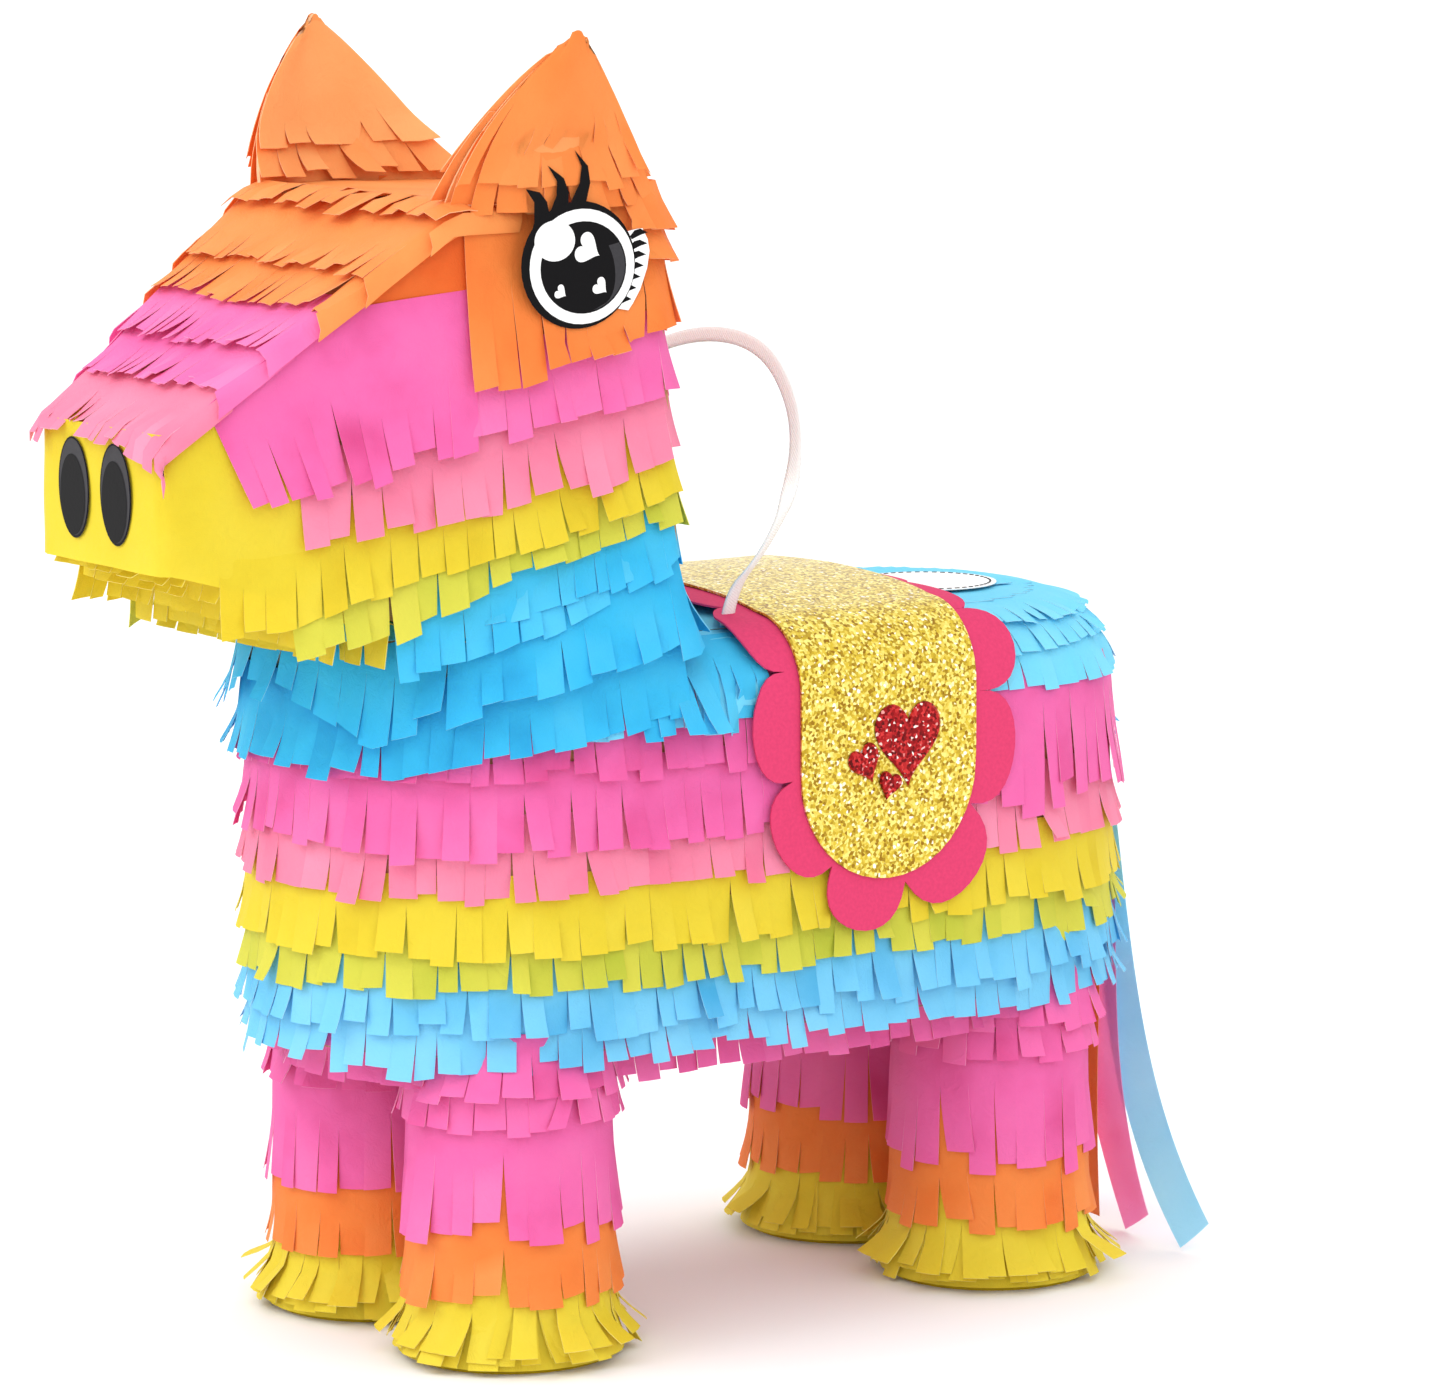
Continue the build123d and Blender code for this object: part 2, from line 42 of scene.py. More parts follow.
# ---------------------------------------------------------------- camera
# A long lens from the donkey's front left, a little above the middle of it,
# so that the head comes forward to the left and the rump ends at the right.
azimuth, elevation = math.radians(55.1), math.radians(8.5)
back = Vector((math.sin(azimuth) * math.cos(elevation),
               -math.cos(azimuth) * math.cos(elevation), math.sin(elevation)))
right = Vector((math.cos(azimuth), math.sin(azimuth), 0.0))
above = back.cross(right)
lens = bpy.data.cameras.new("camera")
lens.sensor_width = 36.0
lens.lens = 157.6
lens.clip_start = 0.05
lens.clip_end = 40.0
camera = bpy.data.objects.new("camera", lens)
camera.matrix_world = Matrix.Translation(
    Vector((0.0, 0.021, 0.180)) + back * 1.95 + right * 0.01196 + above * 0.00395
) @ Matrix((right, above, back)).transposed().to_4x4()
scene.collection.objects.link(camera)
scene.camera = camera
scene.view_settings.view_transform = "Standard"

# ---------------------------------------------------------------- strap
# The hanging loop is a flat white strap, 5 mm wide, that stands up behind
# the neck in one arch. It goes in at both ends through the back of the body.
def material(name, slot_colour, rough=0.6):
    """A new node material with its Principled shader, for the caller to build on."""
    made = bpy.data.materials.new(name)
    made.use_nodes = True
    shader = made.node_tree.nodes["Principled BSDF"]
    shader.inputs["Base Color"].default_value = (*slot_colour, 1.0)
    shader.inputs["Roughness"].default_value = rough
    shader.inputs["Specular IOR Level"].default_value = 0.3
    made.diffuse_color = (*slot_colour, 1.0)
    return made, made.node_tree, shader


def add_node(tree, kind, inputs=(), **settings):
    """A new shader node, with its settings and the values of its inputs."""
    node = tree.nodes.new("ShaderNode" + kind)
    for key, value in settings.items():
        setattr(node, key, value)
    for key, value in dict(inputs).items():
        node.inputs[key].default_value = value
    return node


def join(tree, *links):
    """Links each node's output to the next node's input."""
    for source, output, target, given in links:
        tree.links.new(source.outputs[output], target.inputs[given])


def add_object(name, work, materials, smooth=True):
    """Turns a bmesh into an object in the scene, at the origin."""
    mesh = bpy.data.meshes.new(name)
    work.to_mesh(mesh)
    work.free()
    for one in materials:
        mesh.materials.append(one)
    for face in mesh.polygons:
        face.use_smooth = smooth
    made = bpy.data.objects.new(name, mesh)
    scene.collection.objects.link(made)
    return made


strap_route = [(0.050, 0.002, 0.210), (0.050, 0.002, 0.223), (0.062, 0.008, 0.238),
               (0.066, 0.015, 0.256), (0.056, 0.024, 0.275), (0.034, 0.032, 0.290),
               (0.012, 0.036, 0.296), (-0.012, 0.036, 0.296), (-0.034, 0.032, 0.290),
               (-0.056, 0.024, 0.275), (-0.066, 0.015, 0.256), (-0.062, 0.008, 0.238),
               (-0.050, 0.002, 0.223), (-0.050, 0.002, 0.210)]
line = bpy.data.curves.new("strap_line", "CURVE")
line.dimensions = "3D"
line.resolution_u = 10
spline = line.splines.new("NURBS")
spline.points.add(len(strap_route) - 1)
for spot, place in zip(spline.points, strap_route):
    spot.co = (*place, 1.0)
spline.order_u = 3
spline.use_endpoint_u = True
holder = bpy.data.objects.new("strap_line", line)
scene.collection.objects.link(holder)
bpy.context.view_layer.update()
traced = bpy.data.meshes.new_from_object(holder.evaluated_get(bpy.context.evaluated_depsgraph_get()))
strap_path = [v.co.copy() for v in traced.vertices]
bpy.data.objects.remove(holder)

work = bmesh.new()
rings = []
for i, spot in enumerate(strap_path):
    ahead = (strap_path[min(i + 1, len(strap_path) - 1)] - strap_path[max(i - 1, 0)]).normalized()
    turn = i / (len(strap_path) - 1)
    top = math.sin(math.pi * turn) ** 0.7
    wide = Vector((0.0, 1.0 - 0.7 * top, top))
    wide = (wide - ahead * wide.dot(ahead)).normalized()
    thick = ahead.cross(wide)
    ring = [work.verts.new(spot + wide * (u * 0.0023) + thick * (w * 0.0005))
            for u, w in ((-1, -0.6), (-1, 0.6), (-0.5, 1), (0, 1.05), (0.5, 1), (1, 0.6),
                         (1, -0.6), (0.5, -1), (0, -1.05), (-0.5, -1))]
    rings.append(ring)
for one, two in zip(rings, rings[1:]):
    for k in range(10):
        work.faces.new((one[k], one[(k + 1) % 10], two[(k + 1) % 10], two[k]))
work.faces.new(rings[0])
work.faces.new(tuple(reversed(rings[-1])))
bmesh.ops.recalc_face_normals(work, faces=work.faces)
strap_white, tree, shader = material("strap_webbing", (0.83, 0.81, 0.79), 0.75)
spot = add_node(tree, "TexCoord")
weave = add_node(tree, "TexWave", {"Scale": 520.0, "Distortion": 0.6}, wave_type="BANDS",
                 bands_direction="DIAGONAL")
bump = add_node(tree, "Bump", {"Strength": 0.35, "Distance": 0.0003})
join(tree, (spot, "Object", weave, "Vector"), (weave, "Color", bump, "Height"),
     (bump, "Normal", shader, "Normal"))
strap = add_object("hanging_strap", work, [strap_white])
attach(strap, "donkey")
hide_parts("hang_loop")

# ---------------------------------------------------------------- lights and floor
# A white studio: white all round, a large soft light from above and a little left of the camera,
# a stronger one from the upper left, and a white floor that takes a faint shadow.
scene.world = bpy.data.worlds.new("studio")
scene.world.use_nodes = True
scene.world.node_tree.nodes["Background"].inputs["Color"].default_value = (1.0, 1.0, 1.0, 1.0)
scene.world.node_tree.nodes["Background"].inputs["Strength"].default_value = 1.25
for name, place, power, size in (("key", (1.3, -1.1, 1.5), 5.0, 1.2), ("front", (-0.4, -1.6, 1.5), 11.0, 1.3)):
    lamp = bpy.data.lights.new(name, "AREA")
    lamp.energy = power
    lamp.size = size
    made = bpy.data.objects.new(name, lamp)
    made.location = place
    made.rotation_euler = (Vector((0.0, 0.0, 0.2)) - Vector(place)).to_track_quat("-Z", "Y").to_euler()
    scene.collection.objects.link(made)
work = bmesh.new()
bmesh.ops.create_grid(work, x_segments=4, y_segments=4, size=12.0)
floor_white, tree, shader = material("floor_white", (0.99, 0.985, 0.98), 0.9)
shader.inputs["Specular IOR Level"].default_value = 0.1
floor = add_object("floor", work, [floor_white])

# ---------------------------------------------------------------- fringe round the body
# Overlapping rows of tissue paper go all round the body, cut into tabs below
# and glued above: pink under the belly, then blue, yellow and pink to the back.
# The paper's colour runs by its tone from deep, a painted shade, through plain to pale, painted light coming
# through the paper, with a random cloudy mottle on top.
tissue_look = bpy.data.node_groups.new("tissue paper", "ShaderNodeTree")
for name, kind in (("Deep", "NodeSocketColor"), ("Plain", "NodeSocketColor"), ("Pale", "NodeSocketColor")):
    tissue_look.interface.new_socket(name, in_out="INPUT", socket_type=kind)
tissue_look.interface.new_socket("Color", in_out="OUTPUT", socket_type="NodeSocketColor")
tissue_look.interface.new_socket("Roughness", in_out="OUTPUT", socket_type="NodeSocketFloat")
tissue_look.interface.new_socket("Normal", in_out="OUTPUT", socket_type="NodeSocketVector")
given, result = tissue_look.nodes.new("NodeGroupInput"), tissue_look.nodes.new("NodeGroupOutput")
spot = add_node(tissue_look, "TexCoord")
tone = add_node(tissue_look, "Attribute", attribute_name="tone")
cloudy = add_node(tissue_look, "TexNoise", {"Scale": 38.0, "Detail": 3.0})
shade = add_node(tissue_look, "Math", {1: 0.5, 2: -0.25}, operation="MULTIPLY_ADD")
total = add_node(tissue_look, "Math", operation="ADD", use_clamp=True)
low = add_node(tissue_look, "MapRange", {"From Min": 0.15, "From Max": 0.5})
high = add_node(tissue_look, "MapRange", {"From Min": 0.5, "From Max": 0.95})
first = add_node(tissue_look, "Mix", data_type="RGBA")
second = add_node(tissue_look, "Mix", data_type="RGBA")
crease = add_node(tissue_look, "TexNoise", {"Scale": 170.0, "Detail": 5.0, "Roughness": 0.62,
                                            "Distortion": 0.8})
fibre = add_node(tissue_look, "TexNoise", {"Scale": 1500.0, "Detail": 2.0})
both = add_node(tissue_look, "Math", {1: 0.12}, operation="MULTIPLY_ADD")
bump = add_node(tissue_look, "Bump", {"Strength": 0.55, "Distance": 0.0009})
rough = add_node(tissue_look, "MapRange", {"To Min": 0.5, "To Max": 0.75})
join(tissue_look, (spot, "Object", cloudy, "Vector"), (spot, "Object", crease, "Vector"),
     (spot, "Object", fibre, "Vector"), (cloudy, "Fac", shade, 0), (shade, 0, total, 0),
     (tone, "Fac", total, 1), (total, 0, low, "Value"), (total, 0, high, "Value"),
     (low, "Result", first, "Factor"), (given, "Deep", first, "A"), (given, "Plain", first, "B"),
     (high, "Result", second, "Factor"), (first, "Result", second, "A"), (given, "Pale", second, "B"),
     (second, "Result", result, "Color"), (fibre, "Fac", both, 0), (crease, "Fac", both, 2),
     (both, 0, bump, "Height"), (bump, "Normal", result, "Normal"), (fibre, "Fac", rough, "Value"),
     (rough, "Result", result, "Roughness"))


def linear(r, g, b):
    """A screen colour, 0 to 255, as the linear values that the shaders take."""
    return tuple(((c / 255 + 0.055) / 1.055) ** 2.4 if c > 10 else c / 3294 for c in (r, g, b))


# Painted-highlight materials for the tissue papers' cut edges, by paper name.
edge_highlights = {}


def tissue(name, deep, plain, pale, through=0.28, highlighted_edge=True):
    """Tissue paper: deep as painted shade, plain, and pale as painted light where the light comes through.

    Its cut edge is painted paler than the paper: a painted highlight where the light catches it."""
    made, tree, shader = material(name, linear(*plain))
    look = add_node(tree, "Group", node_tree=tissue_look)
    for socket, colour in (("Deep", deep), ("Plain", plain), ("Pale", pale)):
        look.inputs[socket].default_value = (*linear(*colour), 1.0)
    lit = add_node(tree, "BsdfTranslucent")
    blend = add_node(tree, "MixShader", {"Fac": through})
    shader.inputs["Specular IOR Level"].default_value = 0.22
    join(tree, (look, "Color", shader, "Base Color"), (look, "Roughness", shader, "Roughness"),
         (look, "Normal", shader, "Normal"), (look, "Color", lit, "Color"), (look, "Normal", lit, "Normal"),
         (shader, "BSDF", blend, 1), (lit, "BSDF", blend, 2),
         (blend, "Shader", tree.nodes["Material Output"], "Surface"))
    if highlighted_edge:
        # The edge's colour is the pale one moved 0.3 of the way to white, a painted highlight.
        light = [round(c + (255 - c) * 0.3) for c in pale]  # 0.3 of the way to white
        edge_highlights[name] = tissue(name + "_edge", pale, light, light, through, highlighted_edge=False)
    return made


def add_row(work, point, core, start, end, top, bottom, cut, tabs, seed, lift=1.2, flare=2.6,
            lean=0.9, ragged=0.08, tone=0.5, head=2, tail=4, press=None):
    """One strip of paper, in millimetres, from start to end along the surface point(a, v).

    top and bottom are its heights, as numbers or functions of a; below the share cut
    of its height it is slit into tabs, which stand away from the card by up to flare."""
    rng = random.Random(seed)
    high = top if callable(top) else lambda a: top
    deep = bottom if callable(bottom) else lambda a: bottom
    column, level = work.verts.layers.int["column"], work.verts.layers.int["level"]
    colour = work.verts.layers.float["tone"]
    made = bmesh.ops.create_grid(work, x_segments=2 * tabs, y_segments=head + tail, size=0.5)["verts"]
    faces = list({face for v in made for face in v.link_faces})
    for v in made:
        v[column] = round((v.co.x + 0.5) * 2 * tabs)
        v[level] = round((0.5 - v.co.y) * (head + tail))
    owner = {face: int((face.calc_center_median().x + 0.5) * tabs) for face in faces}
    slits = {edge for face in faces for edge in face.edges
             if edge.verts[0][column] == edge.verts[1][column]
             and edge.verts[0][column] % 2 == 0 and 0 < edge.verts[0][column] < 2 * tabs
             and min(edge.verts[0][level], edge.verts[1][level]) >= head}
    bmesh.ops.split_edges(work, edges=list(slits))
    width = (end - start) / tabs
    lines = [start + width * (i + (rng.uniform(-0.17, 0.17) if 0 < i < tabs else 0.0)) for i in range(tabs + 1)]
    reach = [rng.uniform(-0.13, 0.10) for i in range(tabs + 1)]
    ways = [(1.0 + rng.gauss(0.0, ragged), flare * rng.uniform(0.25, 1.25) + (rng.random() < 0.05) * flare,
             rng.gauss(0.0, lean) * (0.7 if rng.random() < 0.92 else 2.6), rng.gauss(0.0, 0.45),
             rng.uniform(0.0, 0.08), rng.gauss(0.0, 0.07)) for i in range(tabs)]
    phase = rng.uniform(0.0, 50.0)
    seen = set()
    for face in faces:
        tab = owner[face]
        long, rise, sway, twist, narrow, tint = ways[tab]
        middle = 0.5 * (lines[tab] + lines[tab + 1])
        for v in face.verts:
            if v in seen:
                continue
            seen.add(v)
            c, j = v[column], v[level]
            a = lines[c // 2] if c % 2 == 0 else 0.5 * (lines[c // 2] + lines[c // 2 + 1])
            slit = (cut(a) if callable(cut) else cut) + 0.5 * (reach[c // 2] + reach[(c + 1) // 2])
            if not tail:
                slit = 1.0
            if j <= head:
                k, f = 0.0, slit * j / head
            else:
                k = (j - head) / tail
                f = slit + (1.0 - slit) * k * long
            side = a - middle
            spot_a = middle + side * (1.0 - narrow * k) + sway * k ** 1.3 if k else a
            height = high(a) + (deep(a) - high(a)) * f
            base = point(spot_a, height)
            across = point(spot_a + 0.4, height) - point(spot_a - 0.4, height)
            along = point(spot_a, height + 0.4) - point(spot_a, height - 0.4)
            normal = across.cross(along).normalized()
            if normal.dot(base - core(base)) < 0.0:
                normal = -normal
            ripple = 0.55 * noise.noise(base * 0.05 + Vector((phase, 0.0, 0.0)))
            off = lift * (0.25 + 0.75 * f) + ripple * (0.4 + f) + rise * k ** 1.7
            if k:
                off += twist * side / width * 2.0 * k + 0.25 * (c % 2) * k
            if press:
                off = min(off, press(base))
            v.co = (base + normal * max(off, 0.25)) * 0.001
            # The tone is the row's own, with a random tint per tab, plus a painted gradient: painted shade near
            # the glued top under the row above, painted light coming through towards the tips.
            v[colour] = tone + (tint * min(1.0, 2.0 * k) if k else 0.0) + 0.10 * (f - 0.5)


def new_rows():
    """An empty bmesh with the layers that add_row writes."""
    work = bmesh.new()
    work.verts.layers.int.new("column")
    work.verts.layers.int.new("level")
    work.verts.layers.float.new("tone")
    return work


def add_paper(name, work, paper, slot, *nodes, body="donkey", thick=0.00026):
    """Finishes sheets of paper as one object with a thin cut edge."""
    for layer in ("column", "level"):
        if layer in work.verts.layers.int:
            work.verts.layers.int.remove(work.verts.layers.int[layer])
    for edge in work.edges:
        edge.smooth = not edge.is_boundary
    # Each sheet's rim takes its paper's painted-highlight edge material.
    edge = edge_highlights.get(paper.name)
    made = add_object(name, work, [paper, edge] if edge else [paper])
    solid = made.modifiers.new("thickness", "SOLIDIFY")
    solid.thickness = thick
    solid.offset = 0.0
    solid.material_offset_rim = 1 if edge else 0
    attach(made, body)
    if nodes:
        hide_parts(*nodes)
    return made


# Each paper's three colours: deep is painted shade, plain its own colour, pale painted light coming through.
pink = tissue("pink_tissue_paper", (214, 48, 120), (246, 112, 184), (255, 142, 202))
light_pink = tissue("light_pink_tissue_paper", (232, 84, 138), (250, 142, 176), (255, 168, 198))
yellow = tissue("yellow_tissue_paper", (216, 184, 22), (238, 216, 52), (246, 228, 78))
pale_yellow = tissue("yellow_tissue_paper_over_blue", (180, 196, 50), (220, 218, 78), (240, 230, 90))
blue = tissue("blue_tissue_paper", (18, 144, 208), (58, 198, 244), (100, 216, 250))
light_blue = tissue("light_blue_tissue_paper", (58, 174, 226), (126, 214, 250), (156, 228, 254))
orange = tissue("orange_tissue_paper", (236, 100, 34), (250, 142, 66), (254, 170, 96))

CARD = 71.0  # half the body's width, and the radius of its round ends, all in millimetres
CHEST_Y, RUMP_Y, BACK_Z = -52.0, 97.0, 213.0  # the middles of the round ends, and the top of the back
QUARTER, STRAIGHT = CARD * math.pi / 2.0, RUMP_Y - CHEST_Y


def crown_of_back(inward, y):
    """How far the layers of paper crown the back, at a distance in from its rounded edge.

    They are thickest under the saddle and thin out to nothing at the rump."""
    return 5.0 * (1.0 - math.exp(-max(0.0, inward) / 22.0)) * min(1.0, max(0.0, (RUMP_Y - y) / 20.0))


def hull(a, v):
    """The body's card: a goes round it from the middle of the chest, left side positive,
    and v is the height, which runs on over the rounded shoulder to the flat of the back."""
    s = abs(a)
    y = CHEST_Y if s < QUARTER else min(RUMP_Y, CHEST_Y + s - QUARTER)
    roll = 18.0 + 9.0 * min(1.0, max(0.0, (y - 41.0) / 56.0))
    rise = v - (BACK_Z - roll)
    if rise <= 0.0:
        inset, z = 0.0, v
    elif rise < roll * math.pi / 2.0:
        inset, z = roll * (1.0 - math.cos(rise / roll)), BACK_Z - roll * (1.0 - math.sin(rise / roll))
    else:
        inset = roll + rise - roll * math.pi / 2.0
        z = BACK_Z + crown_of_back(inset - roll, y)
    radius = max(CARD - inset, 0.5)
    if s < QUARTER:
        spot = (radius * math.sin(s / CARD), CHEST_Y - radius * math.cos(s / CARD), z)
    elif s < QUARTER + STRAIGHT:
        spot = (radius, y, z)
    else:
        turn = (s - QUARTER - STRAIGHT) / CARD
        spot = (radius * math.cos(turn), RUMP_Y + radius * math.sin(turn), z)
    return Vector((math.copysign(spot[0], a) if s > 1e-6 else 0.0, spot[1], spot[2]))


def spine(base):
    return Vector((0.0, min(RUMP_Y, max(CHEST_Y, base.y)), min(base.z, 170.0)))


def flank_scallops(base):
    """Whether a point of the body lies under the saddle, which presses the paper flat."""
    if base.z > 200.0:
        return 0.0 < base.y < 84.0
    return any((base.y - y) ** 2 + (base.z - z) ** 2 < 19.5 ** 2
               for y, z in ((9, 215), (7, 187), (15, 156), (37, 138), (62, 145), (74, 174), (75, 205))) \
        or (14.0 < base.y < 74.0 and base.z > 140.0)


def press(base):
    return 2.3 if flank_scallops(base) else 99.0


HALF = 2.0 * QUARTER + STRAIGHT


def fringe(name, paper, slot, rows, *nodes):
    """One object of several rows, each with what add_row takes and then its own settings."""
    work = new_rows()
    for *given, settings in rows:
        add_row(work, *given, **settings)
    return add_paper(name, work, paper, slot, *nodes)


def round_body(*given, **settings):
    """A row that goes all round the body."""
    return hull, spine, -HALF, HALF, *given, settings


def belly(a, v):
    """Under the body's rows, drawn in towards its middle."""
    return Vector((hull(a, v).x * 0.86, hull(a, v).y * 0.93 + 1.5, v))


def shoulder_top(a):
    """The upper pink row is glued higher at the rump, where no blue covers it."""
    return 182 if abs(a) < 230 else 196


fringe("fringe_body_low_blue", light_blue, "blue_tissue",
       [round_body(114, 91.5, 0.42, 104, 11, ragged=0.12, tone=0.55)])
fringe("fringe_belly_pink", pink, "pink_tissue",
       [(belly, spine, -HALF, HALF, 97, 83.5, 0.2, 88, 10, {"lift": 0.8, "flare": 2.5, "lean": 1.0}),
        round_body(108, 95.5, 1.0, 60, 9, lift=0.4, head=4, tail=0)], "tissue_belly_pink")
fringe("fringe_body_blue", light_blue, "blue_tissue",
       [round_body(125, 101.5, 0.36, 102, 12, lift=1.9, ragged=0.1, tone=0.45)], "tissue_body_blue")
fringe("fringe_body_low_yellow", pale_yellow, "yellow_tissue",
       [round_body(137, 113.5, 0.38, 106, 13, lift=1.6, flare=2.4, ragged=0.1, press=press)])
fringe("fringe_body_yellow", yellow, "yellow_tissue",
       [round_body(149, 125.0, 0.34, 101, 14, lift=2.0, flare=2.4, ragged=0.1, tone=0.55, press=press)],
       "tissue_body_yellow")
fringe("fringe_body_light_pink", light_pink, "pink_tissue",
       [round_body(167, 142.5, 0.36, 104, 15, lift=1.6, flare=2.2, press=press)])
fringe("fringe_body_pink", pink, "pink_tissue",
       [round_body(shoulder_top, 155.5, 0.26, 100, 16, lift=2.0, flare=2.4, press=press),
        (hull, spine, -215.0, 215.0, 203, 177.0, 0.3, 58, 17,
         {"lift": 1.7, "flare": 2.4, "tone": 0.4, "press": press})],
       "tissue_body_pink")


# ---------------------------------------------------------------- blue paper on the back
# Blue rows lie round the rump and over its rounded edge, the top one running
# in to the seal, and a plain sheet covers the back under the saddle.
def stern(a, v):
    return hull(math.copysign(HALF - abs(a), a), v)


def edge_in(x, y):
    """How far a point on the flat of the back is from its rounded edge."""
    if y > RUMP_Y:
        return 44.0 - math.hypot(x, y - RUMP_Y)
    return 53.0 - 9.0 * min(1.0, max(0.0, (y - 41.0) / 56.0)) - abs(x)


def stern_top(a):
    """The top row is glued further in where it comes to the saddle."""
    return 231 + 18 * min(1.0, max(0.0, (abs(a) - 96) / 20))


work = new_rows()
for top, bottom, cut, tabs, seed, settings in (
        (215, 189.5, 0.55, 38, 21, {"lift": 1.0, "flare": 1.6, "tone": 0.62}),
        (229, 200.0, 0.62, 36, 22, {"lift": 1.3, "flare": 1.6, "tone": 0.62}),
        (stern_top, 209.0, 0.6, 38, 23, {"lift": 1.6, "flare": 1.4, "tone": 0.66, "head": 4})):
    add_row(work, stern, spine, -140.0, 140.0, top, bottom, cut, tabs, seed, lean=0.4, press=press, **settings)
sheet = bmesh.ops.create_grid(work, x_segments=40, y_segments=54, size=0.5)["verts"]
for v in sheet:
    x, y = v.co.x * 104.0, 54.5 + v.co.y * 171.0
    v.co = Vector((x, y, 213.8 + crown_of_back(edge_in(x, y), y))) * 0.001
    v[work.verts.layers.float["tone"]] = 0.6


def off_the_sheet(face):
    """Whether a face of the sheet lies over the fill hole, or out past the round rump."""
    spot = face.calc_center_median()
    over_hole = abs(spot.x) < 0.0195 and 0.0905 < spot.y < 0.132
    return over_hole or (spot.y > 0.09 and (spot.xy - Vector((0, 0.001 * RUMP_Y))).length > 0.046)


bmesh.ops.delete(work, geom=[face for face in {f for v in sheet for f in v.link_faces} if off_the_sheet(face)],
                 context="FACES")
for start, seed in ((95.0, 24), (-165.0, 25)):
    add_row(work, hull, spine, start, start + 70.0, 224, 190.0, 0.5, 11, seed, lift=1.8, flare=3.5, lean=1.4,
            press=press)
sky = tissue("pale_blue_tissue_paper", (76, 192, 238), (122, 226, 255), (150, 234, 255))
add_paper("fringe_back_blue", work, sky, "blue_tissue", "tissue_back_blue")

# ---------------------------------------------------------------- blue fringe of the neck
# Three blue rows hang round the chest and the foot of the neck, higher at the
# nape than at the throat, and a short loose one spreads over each shoulder.
MUZZLE_Y, BROW_Y, NAPE_Y = -182.0, -97.0, -28.0
MUZZLE_Z, CROWN_Z, CROWN_HALF = 279.0, 343.0, 57.0
# At each y along the head: half its width and its height on top, then the same below.
STATIONS = ((MUZZLE_Y, 34.0, MUZZLE_Z, 34.0, 243.0), (BROW_Y, CROWN_HALF, CROWN_Z, 60.0, 219.6),
            (-73.0, CROWN_HALF, CROWN_Z, 67.8, BACK_Z), (CHEST_Y, CROWN_HALF, CROWN_Z, CARD, BACK_Z),
            (NAPE_Y, CROWN_HALF, CROWN_Z, CARD, BACK_Z))


def station(y):
    """The head's half widths and heights at y, between the stations on either side."""
    y = min(NAPE_Y, max(MUZZLE_Y, y))
    for one, two in zip(STATIONS, STATIONS[1:]):
        if y <= two[0]:
            share = (y - one[0]) / (two[0] - one[0])
            return [p + (q - p) * share for p, q in zip(one, two)]


def half_width(y, z):
    """Half the head's or neck's width at a height, on the card."""
    _, top_half, top_z, low_half, low_z = station(y)
    share = min(1.0, max(0.0, (z - low_z) / (top_z - low_z)))
    return low_half + (top_half - low_half) * share


def corner(s, w):
    """The nape and the neck's rounded rear corner: s is the distance from the middle."""
    if s < 54.0:
        return (w - 4.0) * s / 54.0, NAPE_Y
    turn = (s - 54.0) / 4.0
    return w - 4.0 + 4.0 * math.sin(turn), -32.0 + 4.0 * math.cos(turn)


NAPE = 54.0 + 2.0 * math.pi
ROUND = QUARTER + 20.0 + NAPE


def throat(a, z):
    """Round the foot of the neck, from the middle of the chest."""
    s = abs(a)
    w = half_width(CHEST_Y, z)
    if s < QUARTER:
        x, y = w * math.sin(s / CARD), CHEST_Y - w * math.cos(s / CARD)
    elif s < QUARTER + 20.0:
        x, y = w, CHEST_Y + s - QUARTER
    else:
        x, y = corner(max(0.0, ROUND - s), w)
    return Vector((math.copysign(x, a), y, z))


def throat_core(base):
    return Vector((0.0, min(-48.0, max(-54.0, base.y)), base.z))


def read(table, y):
    """The height at y in a table of y and height, level past both of its ends."""
    for (y1, z1), (y2, z2) in zip(table, table[1:]):
        if y <= y2:
            return z1 + (z2 - z1) * max(0.0, (y - y1) / (y2 - y1))
    return table[-1][1]


def by_y(*table):
    """A height that follows y on the strip throat(a, z), from a table of y and height."""
    def value(a):
        s = abs(a)
        return read(table, CHEST_Y - CARD * math.cos(s / CARD) if s < QUARTER else min(NAPE_Y,
                CHEST_Y + s - QUARTER))
    return value


work = new_rows()
low = by_y((-123, 179), (-110, 177), (-95, 182), (-33, 194))
add_row(work, throat, throat_core, -133.0, 133.0, lambda a: low(a) + 27, low, 0.45, 38, 31, lift=5.0, flare=3.0,
        lean=0.7, tone=0.45)
low_two = by_y((-123, 201), (-112, 189), (-93, 198), (-38, 212), (-28, 215))
add_row(work, throat, throat_core, -ROUND, ROUND, lambda a: low_two(a) + 27, low_two, 0.42, 50, 32, lift=6.0,
        flare=3.6,
        lean=0.8, ragged=0.09)
low_three = by_y((-123, 214), (-98, 220), (-26, 238))
add_row(work, throat, throat_core, -120.0, 120.0, lambda a: low_three(a) + 24, low_three, 0.45, 34, 33,
        lift=2.4,
        flare=3.0, tone=0.62)
for start, seed in ((QUARTER + 6.0, 34), (-QUARTER - 54.0, 35)):
    add_row(work, hull, spine, start, start + 48.0, 219, 187.0, 0.4, 8, seed, lift=3.0, flare=8.0, lean=2.6,
            tone=0.6,
            press=press)
add_paper("fringe_neck_blue", work, blue, "blue_tissue", "tissue_neck_blue")

# ---------------------------------------------------------------- yellow of the neck and jaw
# Two yellow rows, the lower one thin enough for the blue to show through, go
# round the neck and forward under the jaw, where short rows hang across.
def neck(a, z):
    """Round the neck and head from the middle of the nape, forward along each cheek."""
    s = abs(a)
    if s < NAPE:
        x, y = corner(s, half_width(-32.0, z))
    else:
        y = -32.0 - (s - NAPE)
        x = half_width(y, z)
    return Vector((math.copysign(x, a), y, z))


